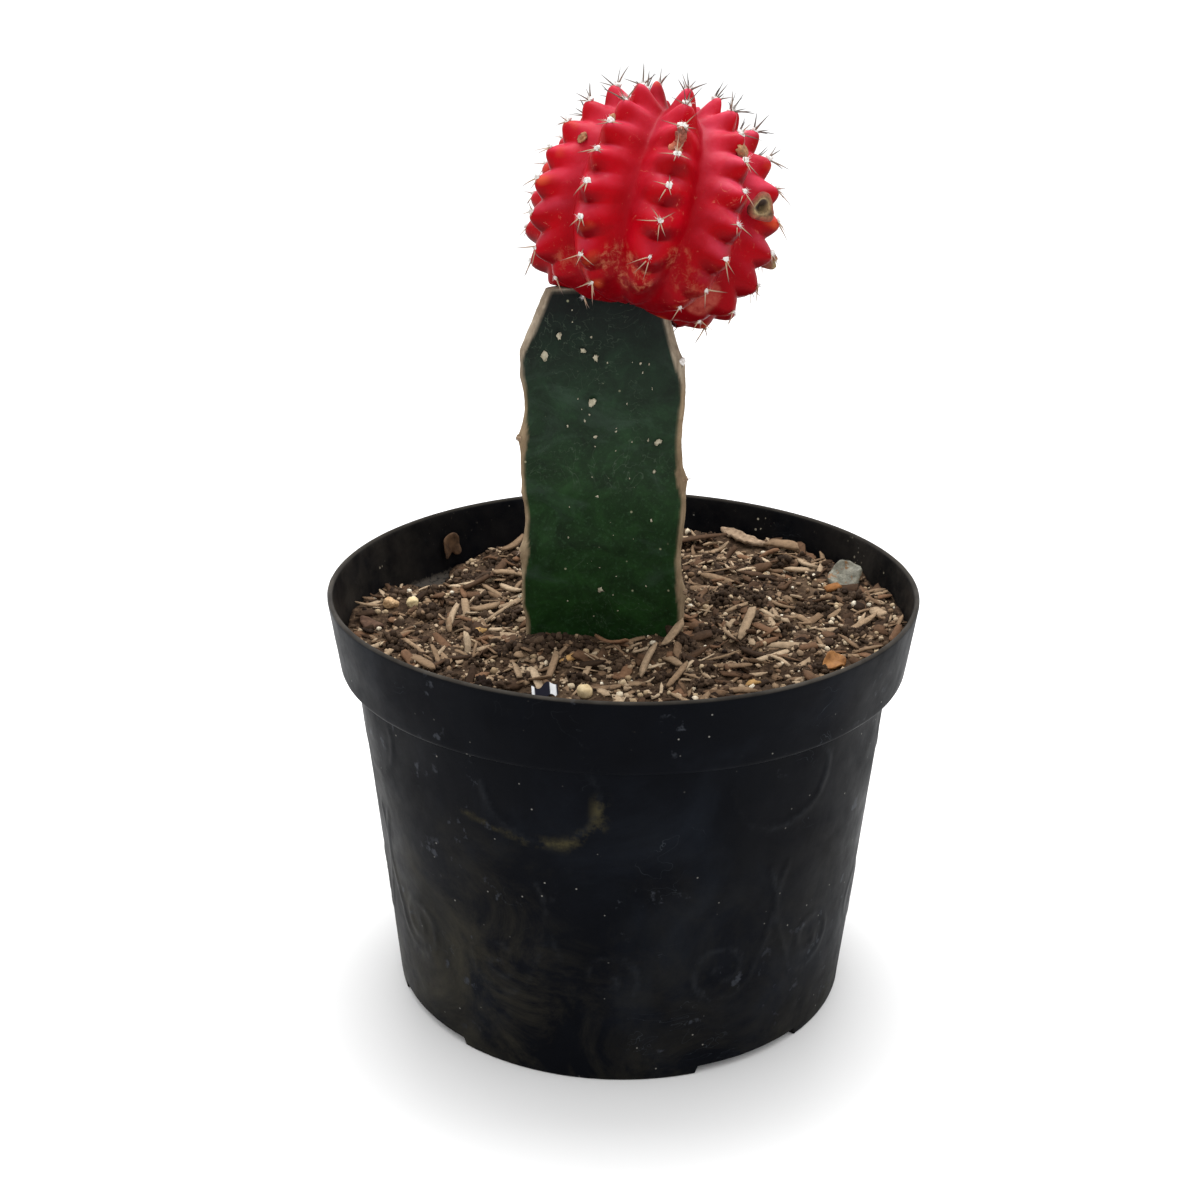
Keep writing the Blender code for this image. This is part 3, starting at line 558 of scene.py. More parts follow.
class Look:
    """A material under construction: short calls that add and link shader nodes."""

    def __init__(self, name, roughness, **constants):
        self.material = bpy.data.materials.new(name)
        self.material.use_nodes = True
        self.tree = self.material.node_tree
        self.shader = self.tree.nodes["Principled BSDF"]
        self.shader.inputs["Roughness"].default_value = roughness
        for socket, value in constants.items():
            self.shader.inputs[socket.replace("_", " ")].default_value = value
        self.place = self.tree.nodes.new("ShaderNodeTexCoord").outputs["Object"]

    def node(self, kind, inputs, **settings):
        """A node with its settings, and its inputs linked or set."""
        made = self.tree.nodes.new("ShaderNode" + kind)
        for key, value in settings.items():
            setattr(made, key, value)
        for socket, value in inputs.items():
            self.feed(made.inputs[socket], value)
        return made

    def feed(self, socket, value):
        """Links a socket to another one, or sets its value."""
        if isinstance(value, bpy.types.NodeSocket):
            self.tree.links.new(value, socket)
        elif isinstance(value, tuple) and len(value) == 3 and socket.type == "RGBA":
            socket.default_value = (*value, 1.0)
        else:
            socket.default_value = value

    def value(self, name):
        """The value that each point of a piece carries under a name."""
        return self.node("Attribute", {}, attribute_name=name).outputs["Fac"]

    def stretched(self, scale):
        """The place on the object, scaled along each axis."""
        return self.node("Mapping", {"Vector": self.place, "Scale": scale}).outputs["Vector"]

    def noise(self, scale, detail=4.0, roughness=0.55, distortion=0.0, vector=None):
        """Noise of a scale, detail, roughness and distortion."""
        inputs = {"Vector": vector or self.place, "Scale": scale, "Detail": detail, "Roughness": roughness,
                  "Distortion": distortion}
        return self.node("TexNoise", inputs).outputs["Fac"]

    def ramp(self, factor, *stops):
        """Grey values or colours along a factor."""
        made = self.node("ValToRGB", {"Fac": factor})
        elements = made.color_ramp.elements
        while len(elements) < len(stops):
            elements.new(0.5)
        for element, (place, colour) in zip(elements, stops):
            element.position = place
            element.color = (*colour, 1.0) if isinstance(colour, tuple) else (colour, colour, colour, 1.0)
        return made.outputs["Color"]

    def patches(self, noise, *stops):
        """A ramp along a noise, which is given as its scale, detail, roughness, distortion and vector."""
        return self.ramp(self.noise(*noise), *stops)

    def lines(self, noise, half, strength):
        """Thin lines where a noise crosses its middle value, fading over half their width to each side."""
        return self.patches(noise, (0.5 - half, 0.0), (0.5, strength), (0.5 + half, 0.0))

    def specks(self, scale, full, gone):
        """One round speck in each cell: 1 up to a distance from its middle and 0 beyond another."""
        cells = self.node("TexVoronoi", {"Vector": self.place, "Scale": scale})
        return self.ramp(cells.outputs["Distance"], (full, 1.0), (gone, 0.0))

    def mix(self, factor, a, b, blend="MIX"):
        """A blend of two colours."""
        made = self.node("Mix", {"Factor": factor, "A": a, "B": b}, data_type="RGBA", blend_type=blend)
        return made.outputs["Result"]

    def math(self, operation, a, b):
        """A sum or product."""
        return self.node("Math", {0: a, 1: b}, operation=operation).outputs["Value"]

    def coat(self, base, colour, *masks):
        """A colour over a base where all masks are high. A mask given as a name is a value of the points."""
        sockets = [self.value(mask) if isinstance(mask, str) else mask for mask in masks]
        mask = reduce(lambda one, other: self.math("MULTIPLY", one, other), sockets)
        return self.mix(mask, base, colour)

    def dress(self, colour, roughness=None):
        """Gives the shader its colour and, where it varies, its roughness."""
        self.feed(self.shader.inputs["Base Color"], colour)
        if roughness is not None:
            self.feed(self.shader.inputs["Roughness"], roughness)

    def bump(self, height, distance, strength):
        """Gives the shader a relief."""
        made = self.node("Bump", {"Distance": distance, "Strength": strength, "Height": height})
        self.feed(self.shader.inputs["Normal"], made.outputs["Normal"])


def pot_look():
    """Bluish black plastic: olive dust low down, smudges, specks, splashes, scratches, painted highlight and
    sheen.
    """
    look = Look("pot_plastic", 0.45, Specular_IOR_Level=0.035)
    base = look.patches((22, 6, 0.62, 0.6), (0.30, (0.0004, 0.0006, 0.0014)),
                        (0.50, (0.0012, 0.0017, 0.0032)), (0.74, (0.0050, 0.0066, 0.0100)))
    # Paler grey on the raised scrolls and the rim's top: wear and a painted highlight
    paler_marks = look.patches((90, 5, 0.7), (0.45, 0.0), (0.65, 0.55))
    base = look.coat(base, (0.030, 0.033, 0.038), paler_marks, "paler_marks")
    dust = look.patches((38, 10, 0.74, 0.8), (0.44, 0.0), (0.76, 0.85))
    base = look.coat(base, (0.036, 0.032, 0.021), dust, "dust")
    smear = look.patches((160, 5, 0.7), (0.42, 0.0), (0.62, 0.8))
    base = look.coat(base, (0.046, 0.039, 0.018), smear, "smear")
    smudge = look.patches((210, 5, 0.6), (0.62, 0.0), (0.68, 0.8))
    base = look.coat(base, (0.030, 0.033, 0.040), smudge, look.patches((31, 2), (0.54, 0.0), (0.60, 1.0)))
    rare = look.patches((60, 2), (0.50, 0.0), (0.56, 1.0))
    base = look.coat(base, (0.16, 0.155, 0.14), look.specks(260, 0.035, 0.075), rare)
    rare = look.patches((500, 2), (0.48, 0.0), (0.52, 1.0))
    base = look.coat(base, (0.46, 0.42, 0.32), look.specks(620, 0.16, 0.26), "splash", rare)
    scratch = look.lines((60, 2, 0.5, 3.5, look.stretched((0.5, 0.5, 1.1))), 0.002, 0.8)
    base = look.coat(base, (0.06, 0.07, 0.08), scratch, look.patches((47, 2), (0.58, 0.0), (0.66, 0.5)))
    grit = look.math("ADD", look.noise(700, 6, 0.7), look.math("MULTIPLY", look.value("grit"), 0.30))
    base = look.coat(base, (0.060, 0.052, 0.043), look.ramp(grit, (0.70, 0.0), (0.80, 0.9)))
    # Painted highlight: a paler brown line along the top of the rim
    base = look.coat(base, (0.066, 0.057, 0.046), "lip", look.patches((90, 4), (0.30, 0.30), (0.70, 0.75)))
    # Painted sheen: a paler inner wall above the soil, strongest at its left and right
    inner_wall_sheen = look.patches((75, 7, 0.7), (0.40, 0.15), (0.70, 1.0))
    base = look.coat(base, (0.034, 0.030, 0.026), "inner_wall_sheen", inner_wall_sheen)
    look.dress(base, look.patches((48, 6, 0.65), (0.3, 0.34), (0.7, 0.62)))
    look.bump(look.noise(420, 4), 0.00006, 0.6)
    return look.material


def soil_look():
    """Crumbly dark soil: umber and near black, with a paler dry crust in patches."""
    look = Look("soil", 0.95, Specular_IOR_Level=0.10)
    base = look.patches((700, 6, 0.7), (0.32, (0.012, 0.007, 0.004)), (0.52, (0.050, 0.030, 0.018)),
                        (0.72, (0.150, 0.098, 0.060)))
    look.dress(look.coat(base, (0.170, 0.115, 0.072), look.patches((90, 5), (0.48, 0.0), (0.72, 0.45))))
    look.bump(look.noise(1500, 6, 0.7), 0.0004, 0.8)
    return look.material


def litter_look(name, dark, middle, pale, halfway=0.6):
    """Wood fibre or crumbs, each bit with its own tone, streaked by a fine grain."""
    look = Look(name, 0.9, Specular_IOR_Level=0.12)
    base = look.ramp(look.value("tone"), (0.0, dark), (halfway, middle), (1.0, pale))
    look.dress(look.mix(1.0, base, look.patches((900, 5, 0.7), (0.25, 0.55), (0.7, 1.12)), "MULTIPLY"))
    look.bump(look.noise(1440, 4), 0.00015, 0.6)
    return look.material


def stem_look():
    """Waxy dark green skin with a grey-blue bloom and pale flecks, tan cork along the margins, painted shade
    at the top.
    """
    look = Look("green_skin", 0.45, Specular_IOR_Level=0.14)
    height = look.value("height")
    # The last stops darken the green near the top, under the head: painted shade
    green = look.ramp(height, (0.0, (0.0070, 0.0260, 0.0050)), (0.50, (0.0080, 0.0270, 0.0068)),
                      (0.80, (0.0068, 0.0205, 0.0078)), (0.93, (0.0044, 0.0130, 0.0060)),
                      (1.0, (0.0010, 0.0030, 0.0024)))
    mottled = look.patches((120, 8, 0.72, 0.6), (0.30, 0.45), (0.50, 0.95), (0.74, 1.9))
    green = look.mix(1.0, green, mottled, "MULTIPLY")
    bloom = look.patches((55, 8, 0.70, 1.0, look.stretched((1.0, 1.0, 1.8))), (0.53, 0.0), (0.74, 0.50))
    # Painted shade: the bloom fades out near the top, under the head
    green = look.coat(green, (0.034, 0.058, 0.041), bloom, look.ramp(height, (0.86, 1.0), (0.975, 0.12)))
    fine = look.patches((1100, 3, 0.6), (0.56, 0.0), (0.68, 0.32))
    green = look.coat(green, (0.030, 0.075, 0.032), fine, look.ramp(height, (0.55, 1.0), (0.85, 0.15)))
    rare = look.patches((33, 2), (0.52, 0.0), (0.62, 1.0))
    green = look.coat(green, (0.080, 0.110, 0.075), look.lines((55, 3, 0.5, 4.0), 0.006, 0.5), rare)
    rare = look.patches((42, 2), (0.48, 0.0), (0.54, 1.0))
    green = look.coat(green, (0.24, 0.24, 0.15), look.specks(190, 0.035, 0.070), rare)
    fibre = look.noise(300, 6, 0.7, 0.3, look.stretched((1.0, 1.0, 0.30)))
    brown = look.ramp(fibre, (0.25, (0.09, 0.060, 0.034)), (0.50, (0.23, 0.165, 0.100)),
                      (0.75, (0.38, 0.295, 0.19)))
    pale = look.ramp(fibre, (0.25, (0.10, 0.072, 0.048)), (0.50, (0.25, 0.200, 0.145)),
                     (0.75, (0.46, 0.40, 0.31)))
    cork = look.mix(look.ramp(height, (0.84, 0.0), (0.90, 1.0)), brown, pale)
    look.dress(look.coat(green, cork, "cork"), look.coat((0.42, 0.42, 0.42), (0.88, 0.88, 0.88), "cork"))
    look.bump(look.noise(420, 6, 0.65), 0.00014, 0.6)
    return look.material


def scion_look():
    """Waxy red flesh: maroon painted shade below and in furrows, a painted pink sheen above, orange tips, tan
    scuffs.
    """
    look = Look("red_skin", 0.38, Specular_IOR_Level=0.05, Subsurface_Weight=0.06, Subsurface_Scale=0.002,
                Subsurface_Radius=(1.0, 0.10, 0.10), Sheen_Weight=0.03, Sheen_Roughness=0.35,
                Sheen_Tint=(1.0, 0.30, 0.42, 1.0))
    red = look.patches((70, 4, 0.55, 0.4), (0.28, (0.235, 0.0001, 0.0018)), (0.50, (0.345, 0.0003, 0.0040)),
                       (0.74, (0.43, 0.0012, 0.0090)))
    # Painted highlight: a pink sheen on upward faces, brighter to the right and weaker on the front rib
    red = look.coat(red, (0.66, 0.074, 0.135), "sky", look.patches((120, 5, 0.6), (0.36, 0.30), (0.64, 0.85)))
    # Painted shade: maroon on downward faces and low down near the graft
    red = look.coat(red, (0.118, 0.0002, 0.0022), "under")
    # Painted shade: darker red down in the furrows
    red = look.coat(red, (0.21, 0.0002, 0.0035), look.ramp(look.value("furrow"), (0.55, 0.0), (1.0, 0.6)))
    red = look.coat(red, (0.56, 0.10, 0.030), "tip", look.patches((90, 2), (0.58, 0.0), (0.70, 0.6)))
    red = look.coat(red, (0.52, 0.14, 0.09), look.patches((260, 8, 0.8, 2.0), (0.615, 0.0), (0.640, 0.5)))
    paler_marks = look.patches((330, 7, 0.75, 0.4), (0.36, 0.10), (0.62, 0.50))
    red = look.coat(red, (0.46, 0.125, 0.085), "patch", paler_marks)
    scab = look.patches((460, 9, 0.80, 0.3), (0.49, 0.0), (0.62, 0.66))
    scuff = look.math("MULTIPLY", scab, look.value("scuff"))
    gloss = look.patches((180, 4), (0.3, 0.28), (0.7, 0.46))
    look.dress(look.coat(red, (0.45, 0.155, 0.080), scuff), look.coat(gloss, (0.8, 0.8, 0.8), scuff))
    look.bump(look.noise(650, 5, 0.6), 0.00012, 0.6)
    return look.material


def plain_look(name, roughness, dark, pale, scale, bump=0.0002, spots=None):
    """A mottled mineral, felt or bark: two colours of one noise, a bump of the same grain, and any spots."""
    look = Look(name, roughness, Specular_IOR_Level=0.25)
    grain = look.noise(scale, 6, 0.65)
    colour = look.ramp(grain, (0.3, dark), (0.7, pale))
    if spots:
        colour = look.coat(colour, spots, look.patches((330, 3, 0.6), (0.56, 0.0), (0.61, 1.0)))
    look.dress(colour)
    look.bump(grain, bump, 0.7)
    return look.material


def film_look():
    """Thin plastic film, blue-black with painted white glints and a crinkled gloss."""
    look = Look("film_scrap", 0.30, Specular_IOR_Level=0.12)
    # Painted highlight: white glints on the film
    white = look.mix(look.noise(500, 4), (0.55, 0.57, 0.60), (0.86, 0.87, 0.88))
    look.dress(look.coat((0.004, 0.004, 0.012), white, "tone"))
    look.bump(look.noise(700, 3), 0.0001, 0.5)
    return look.material


def hollow_look(name, *stops):
    """Dried tissue coloured by each point's own depth value, from its crust at 0 to its darkest pit at 1."""
    look = Look(name, 0.55, Specular_IOR_Level=0.35)
    colour = look.ramp(look.value("depth"), *stops)
    grain = look.patches((520, 8, 0.75), (0.32, 0.30), (0.68, 1.45))
    roughness = look.ramp(look.value("depth"), (0.2, 0.85), (0.7, 0.55))
    look.dress(look.mix(1.0, colour, grain, "MULTIPLY"), roughness)
    look.bump(look.noise(700, 5, 0.7), 0.0003, 0.6)
    return look.material


def spine_look():
    """Straw-coloured at the root, darker and greyer towards the tip."""
    look = Look("spine", 0.5)
    along = look.value("along")
    straw = look.ramp(along, (0.0, (0.52, 0.36, 0.22)), (0.55, (0.36, 0.23, 0.15)),
                      (0.9, (0.09, 0.055, 0.045)))
    grey = look.ramp(along, (0.0, (0.13, 0.09, 0.07)), (0.7, (0.020, 0.014, 0.013)))
    look.dress(look.coat(straw, grey, "tone"))
    return look.material


def rim_wave(angle, z):
    """How far the thin rim bends out in each direction: two waves that grow with the cube of the height."""
    wave = sum(share * np.cos(count * angle + start) for count, share, start in RIM_WAVES)
    return RIM_WARP * wave * (z / POT_HEIGHT) ** 3


def warp_rim(points):
    """Pushes points in and out round the pot by the wave of its rim."""
    points = np.array(points, dtype=float)
    angle = np.arctan2(points[..., 1], points[..., 0])
    radius = np.hypot(points[..., 0], points[..., 1])
    scale = 1 + rim_wave(angle, points[..., 2]) / np.maximum(radius, RIM_RADIUS / 2)
    points[..., :2] *= scale[..., None]
    return points


def inside_radius(z):
    """The radius of the pot's inner wall at each height."""
    radii, heights = zip(*INNER_WALL)
    return np.interp(z, heights, radii)


def rounded_profile(corners, bend, spacing):
    """A profile through corners, each rounded by a short quadratic curve and each run cut to even steps."""
    corners = np.array(corners, dtype=float)
    track = [corners[0]]
    for before, corner, after in zip(corners[:-2], corners[1:-1], corners[2:]):
        start, end = (
            corner + unit(way) * min(bend, np.linalg.norm(way) * 0.45)
            for way in (before - corner, after - corner)
        )
        for t in np.linspace(0, 1, 4):
            track.append((1 - t) ** 2 * start + 2 * t * (1 - t) * corner + t * t * end)
    track.append(corners[-1])
    finer = [track[0]]
    for start, end in zip(track[:-1], track[1:]):
        steps = max(1, int(np.linalg.norm(end - start) / spacing))
        finer += [start + (end - start) * step / steps for step in range(1, steps + 1)]
    return np.array(finer)


def volute(around, height, side):
    """One volute on the unrolled wall: a spiral that opens from its eye, then rises as a slack S-curve."""
    t = np.linspace(0, 1, 70)
    angle = 2 * np.pi * (VOLUTE_TURNS * t - 0.6)
    radius = VOLUTE_RADIUS * (0.12 + 0.88 * t**0.8)
    stem = np.linspace(0, 1, 30)[1:]
    u = np.concatenate([radius * np.cos(angle), VOLUTE_RADIUS * (1 + 0.5 * np.sin(2.6 * stem))])
    v = np.concatenate([radius * np.sin(angle), VOLUTE_STEM * stem])
    return np.stack([around + side * u, height + v], -1)


def swag(around, height):
    """A hanging half circle whose right end curls in."""
    t = np.linspace(0, 1, 50)
    angle = np.pi * (1.05 + 1.25 * t)
    radius = SWAG_RADIUS * (1 - 0.45 * t**4)
    return np.stack([around + radius * np.cos(angle), height + radius * np.sin(angle)], -1)


def track_distance(track, around, height):
    """The distance on the unrolled wall from each point to a line's points, the short way round."""
    nearest = np.full(np.broadcast(around, height).shape, 1.0)
    for u, v in track:
        across = (around - u + WALL_GIRTH / 2) % WALL_GIRTH - WALL_GIRTH / 2
        nearest = np.minimum(nearest, np.hypot(across, height - v))
    return nearest


def scroll_relief(around, height):
    """Low raised scrolls on the wall: volutes low down and swags above, each line round in section."""
    tracks = []
    for number in range(VOLUTE_COUNT):
        centre = VOLUTE_START + WALL_GIRTH * number / VOLUTE_COUNT
        tracks.append(volute(centre, VOLUTE_LEVEL, 1 if number % 2 else -1))
        if number % 2:
            tracks.append(swag(centre - SWAG_SHIFT, SWAG_LEVEL))
    nearest = track_distance(np.concatenate(tracks), around, height)
    return SCROLL_HEIGHT * np.clip(1 - (nearest / SCROLL_WIDTH) ** 2, 0, 1) ** 0.6


def pot_profile():
    """The pot's section as radius and height, from its underside over the lip to its floor.

    The buried wall and the flat floor keep only one row in a few, because nothing shapes them.
    """
    corners = (
        (FLAT_MIDDLE_RADIUS, FOOT_HEIGHT),
        (FOOT_RADIUS, FOOT_HEIGHT),
        (FOOT_RADIUS, 0),
        (BASE_RADIUS, 0),
        (BODY_TOP_RADIUS, COLLAR_FOOT - LIP),
        (COLLAR_FOOT_RADIUS - LIP, COLLAR_FOOT - LIP),
        (COLLAR_FOOT_RADIUS, COLLAR_FOOT),
        (RIM_RADIUS, POT_HEIGHT - LIP),
        (RIM_RADIUS - WALL / 2, POT_HEIGHT),
        *reversed(INNER_WALL),
        (FLAT_MIDDLE_RADIUS, FOOT_HEIGHT + FLOOR),
    )
    profile = rounded_profile(corners, CORNER_BEND, PROFILE_STEP)
    radius, height = profile.T
    number = np.arange(len(profile))
    buried = (number > np.argmax(height)) & (height > BURIED_LOW) & (height < SOIL_LEVEL - BURIED_DEPTH)
    plain = buried | (radius < FOOT_RADIUS - 0.001)
    keep = ~plain | (number % PLAIN_ROWS == 0)
    keep[[0, -1]] = True
    return profile[keep]


def make_pot(look):
    """A turned shell, its foot lifted at the notches, with low scrolls and dents on its outer wall."""
    profile = pot_profile()
    angle = np.linspace(0, 2 * np.pi, POT_COLUMNS, endpoint=False)
    radius, height = profile[:, :1] + 0 * angle, profile[:, 1:] + 0 * angle
    row = np.arange(len(profile))[:, None]
    outside = (row < np.argmax(profile[:, 1])) & (height > 0.001) & (radius > BASE_RADIUS - 0.0005)
    wall = rise(height, *SCROLLS_LOW) * fall(height, *SCROLLS_HIGH)
    around = (angle + math.pi / 2) * WALL_GIRTH / (2 * math.pi)
    dents = uneven(polar(radius, angle, height), POT_DENTS)
    radius = radius + outside * (dents + scroll_relief(around, height) * wall)
    half, spread = math.radians(NOTCH_SPAN / 2), 2 * math.pi / NOTCH_COUNT
    first = math.radians(NOTCH_FIRST_ANGLE - 90)
    off = np.abs((angle - first + spread / 2) % spread - spread / 2)
    notch = fall(off, half - NOTCH_SLOPE, half + NOTCH_SLOPE) * (FOOT_HEIGHT - LIP / 4)
    height = np.where(height < FOOT_HEIGHT, np.maximum(height, notch), height)
    rings = warp_rim(polar(radius, angle, height))
    points, faces = closed_stack(rings, (0, 0, FOOT_HEIGHT), (0, 0, FOOT_HEIGHT + FLOOR))
    values = pot_values(points)
    pot = add_piece("nursery_pot", points, faces, "pot_plastic", look, ("pot",), values, sharp_angle=50)
    for number in range(NOTCH_COUNT):
        turn = first + spread * number
        cut(pot, *drain_cutter(DRAIN_CIRCLE_RADIUS * math.cos(turn), DRAIN_CIRCLE_RADIUS * math.sin(turn)))
    cut(pot, *drain_cutter(0, 0))


def drain_cutter(x, y):
    """A short upright cylinder."""
    ring = polar(DRAIN_RADIUS, np.linspace(0, 2 * np.pi, 40, endpoint=False), 0)
    low, high = (x, y, DRAIN_LOW), (x, y, FOOT_HEIGHT + FLOOR * 2)
    return closed_stack(np.stack([ring + low, ring + high]), low, high)


def pot_values(points):
    """Dust low and left, a smear, grit on the ledge, splashes inside; painted highlight on the lip, sheen
    inside.
    """
    x, y, z = points.T
    dust = fall(z, *DUST_FADE) * (0.30 + 0.70 * fall(x, -0.030, 0.0)) + 0.35 * fall(z, *DUST_FOOT_FADE)
    around = np.arctan2(x, -y) * WALL_GIRTH / (2 * math.pi)
    way = np.linspace(0, len(SMEAR_TRACK) - 1, 60)
    line = np.stack([np.interp(way, range(len(SMEAR_TRACK)), column) for column in zip(*SMEAR_TRACK)], -1)
    width = SMEAR_WIDTH + SMEAR_WIDENING * rise(around, -0.030, -0.008)
    smear = fall(track_distance(line, around, z), 0, width * 1.5)
    outside = np.hypot(x, y) > BASE_RADIUS
    # Wear and painted highlight on the scroll tops and the rim's top
    paler_marks = 0.5 * rise(scroll_relief(around, z), 0.5 * SCROLL_HEIGHT, SCROLL_HEIGHT) * (z < COLLAR_FOOT)
    paler_marks = np.maximum(paler_marks, rise(z, POT_HEIGHT - 0.0008, POT_HEIGHT - 0.0002))
    depth = inside_radius(z) - (np.hypot(x, y) - rim_wave(np.arctan2(y, x), z))
    ledge = (depth > -WALL / 3) & (np.abs(z - LEDGE) < 0.0014)
    inner = (np.abs(depth) < WALL / 3) & (z > SOIL_LEVEL - 0.012)
    splash = np.zeros(len(z))
    for *spot, reach in SPLASHES:
        splash = np.maximum(splash, fall(np.linalg.norm(points - spot, axis=-1), 0.5 * reach, reach))
    return {
        "dust": np.clip(dust, 0, 1),
        "smear": smear * outside,
        "paler_marks": paler_marks * outside,
        "grit": np.where(ledge, 1.0, 0.20 * inner),
        # Painted highlight along the top of the rim
        "lip": rise(z, POT_HEIGHT - 0.0009, POT_HEIGHT - 0.0004),
        # Painted sheen on the inner wall, strongest at left and right
        "inner_wall_sheen": inner * (0.25 + 0.65 * rise(np.abs(x), 0.050, 0.070)),
        "splash": splash * inner,
    }


def soil_height(x, y):
    """The soil's surface: a plane that rises to the right, a dip at the back left, and low swells."""
    dip_x, dip_y = SOIL_DIP_CENTRE
    level = SOIL_LEVEL + SOIL_SLOPE * x - SOIL_DIP * bell(np.hypot(x - dip_x, y - dip_y) / SOIL_DIP_REACH)
    swell, ripple = (
        sum(np.sin(along * x + across * y + start) for along, across, start in waves)
        for waves in (SOIL_SWELL, SOIL_RIPPLE)
    )
    return level + SOIL_SWELL_HEIGHT * swell + SOIL_RIPPLE_HEIGHT * ripple


def crumbly_height(x, y):
    """The soil's surface with its lumps and crumbs."""
    flat = np.stack([x, y, 0 * x], -1)
    grain = SOIL_GRAIN_HEIGHT * smooth_noise(flat, SOIL_GRAIN_SIZE, 31)
    return soil_height(x, y) + uneven(flat, SOIL_LUMPS) + grain


def wall_reach(x, y):
    """How far from the pot's axis the soil may reach in each direction, at the soil's own level."""
    angle = np.arctan2(y, x)
    level = soil_height(SOIL_EDGE * np.cos(angle), SOIL_EDGE * np.sin(angle))
    return inside_radius(level) - GAP + rim_wave(angle, level)


def make_soil(look):
    """Soil from the pot's floor to its crumbly surface, with a plain hole for the stem."""
    angle = np.linspace(0, 2 * np.pi, SOIL_COLUMNS, endpoint=False)
    reach = wall_reach(np.cos(angle), np.sin(angle))
    bottom = FOOT_HEIGHT + FLOOR + GAP
    rings = [polar(inside_radius(z) - GAP, angle, z) for z in (bottom, *SOIL_SIDE_LEVELS)]
    for share in np.linspace(1, 0, SOIL_ROWS, endpoint=False):
        flat = polar(reach * share, angle, 0)
        rings.append(flat + (0, 0, 1) * crumbly_height(flat[:, 0], flat[:, 1])[:, None])
    middle = np.zeros(1)
    points, faces = closed_stack(np.array(rings), (0, 0, bottom), (0, 0, crumbly_height(middle, middle)[0]))
    soil = add_piece("soil_body", points, faces, "soil", look, ("potting_soil",))
    cut(soil, *stem_shape(GAP, PLAIN_STEM_ROWS)[:2])


def rib_direction(rib):
    """The level direction of a rib."""
    angle = math.radians(rib[0])
    return np.array([math.cos(angle), math.sin(angle)])


def rib_reach(rib, z):
    """A rib's reach at each height: its taper and its wave, cut back by the bevel at the top and the foot."""
    _, low, high, wave, crest, bevel_start = rib
    along = np.clip((z - SOIL_LEVEL) / (STEM_TOP - SOIL_LEVEL), 0, 1)
    reach = low + (high - low) * along + wave * np.cos(2 * np.pi * (z - crest) / AREOLE_SPACING_ON_RIB)
    bevel_slope = (high - BEVEL_TOP_RADIUS) / (STEM_TOP - bevel_start)
    bevel = BEVEL_TOP_RADIUS + bevel_slope * (STEM_TOP - z)
    foot = low * 0.7 + low * 0.3 * np.clip((z - STEM_BASE) / STEM_FOOT_TAPER, 0, 1)
    return np.minimum(np.minimum(reach, bevel), foot)


def stem_shape(grow, rows):
    """The stem's points and faces, and how far each point lies in from the edge of its rib.

    Each ring has three rounded rib edges, half ellipses across the rib's direction, joined by faces that
    hollow a little towards the middle.
    """
    z = np.linspace(STEM_BASE - grow, STEM_TOP + grow, rows)
    tips, depths = [], []
    sweep = np.linspace(-np.pi / 2, np.pi / 2, MARGIN_STEPS)
    for rib in STEM_RIBS:
        out = rib_direction(rib)
        side = np.array([-out[1], out[0]])
        depth = (MARGIN_DEPTH * (1 - np.cos(sweep)) ** 0.9)[None] + 0 * z[:, None]
        reach = rib_reach(rib, z)[:, None] + grow - depth
        half = (MARGIN_HALF + grow) * np.sin(sweep)[None]
        tips.append(reach[..., None] * out + half[..., None] * side)
        depths.append(depth)
    ring, inset = [], []
    t = (np.arange(1, FACE_STEPS + 1) / (FACE_STEPS + 1))[None, :, None]
    for number, tip in enumerate(tips):
        ring.append(tip)
        inset.append(depths[number])
        start, end = tip[:, -1:], tips[(number + 1) % 3][:, :1]
        inward = -unit(start + end)
        ring.append(start + (end - start) * t + inward * FACE_HOLLOW * 4 * t * (1 - t))
        inset.append(np.full((rows, FACE_STEPS), MARGIN_DEPTH) + 0.004 * np.minimum(t, 1 - t)[..., 0])
    flat = np.concatenate(ring, axis=1)
    height = np.broadcast_to(z[:, None], flat.shape[:2])
    rings = np.stack([flat[..., 0] + STEM_X, flat[..., 1], height], -1)
    points, faces = closed_stack(rings, (STEM_X, 0, z[0]), (STEM_X, 0, z[-1]))
    edge = np.concatenate([np.concatenate(inset, axis=1).ravel(), [MARGIN_DEPTH, MARGIN_DEPTH]])
    return points, faces, edge


def knot_places():
    """The spots of the stem's areoles, above the soil and below the bevel, and their outward directions."""
    for rib in STEM_RIBS:
        z = rib[4] + KNOT_ABOVE_CREST
        while z < rib[5] + KNOT_PAST_BEVEL:
            if z > SOIL_LEVEL + KNOT_ABOVE_SOIL:
                out = np.array([*rib_direction(rib), 0.0])
                yield np.array([STEM_X, 0, z]) + out * float(rib_reach(rib, np.array(z))), out
            z += AREOLE_SPACING_ON_RIB


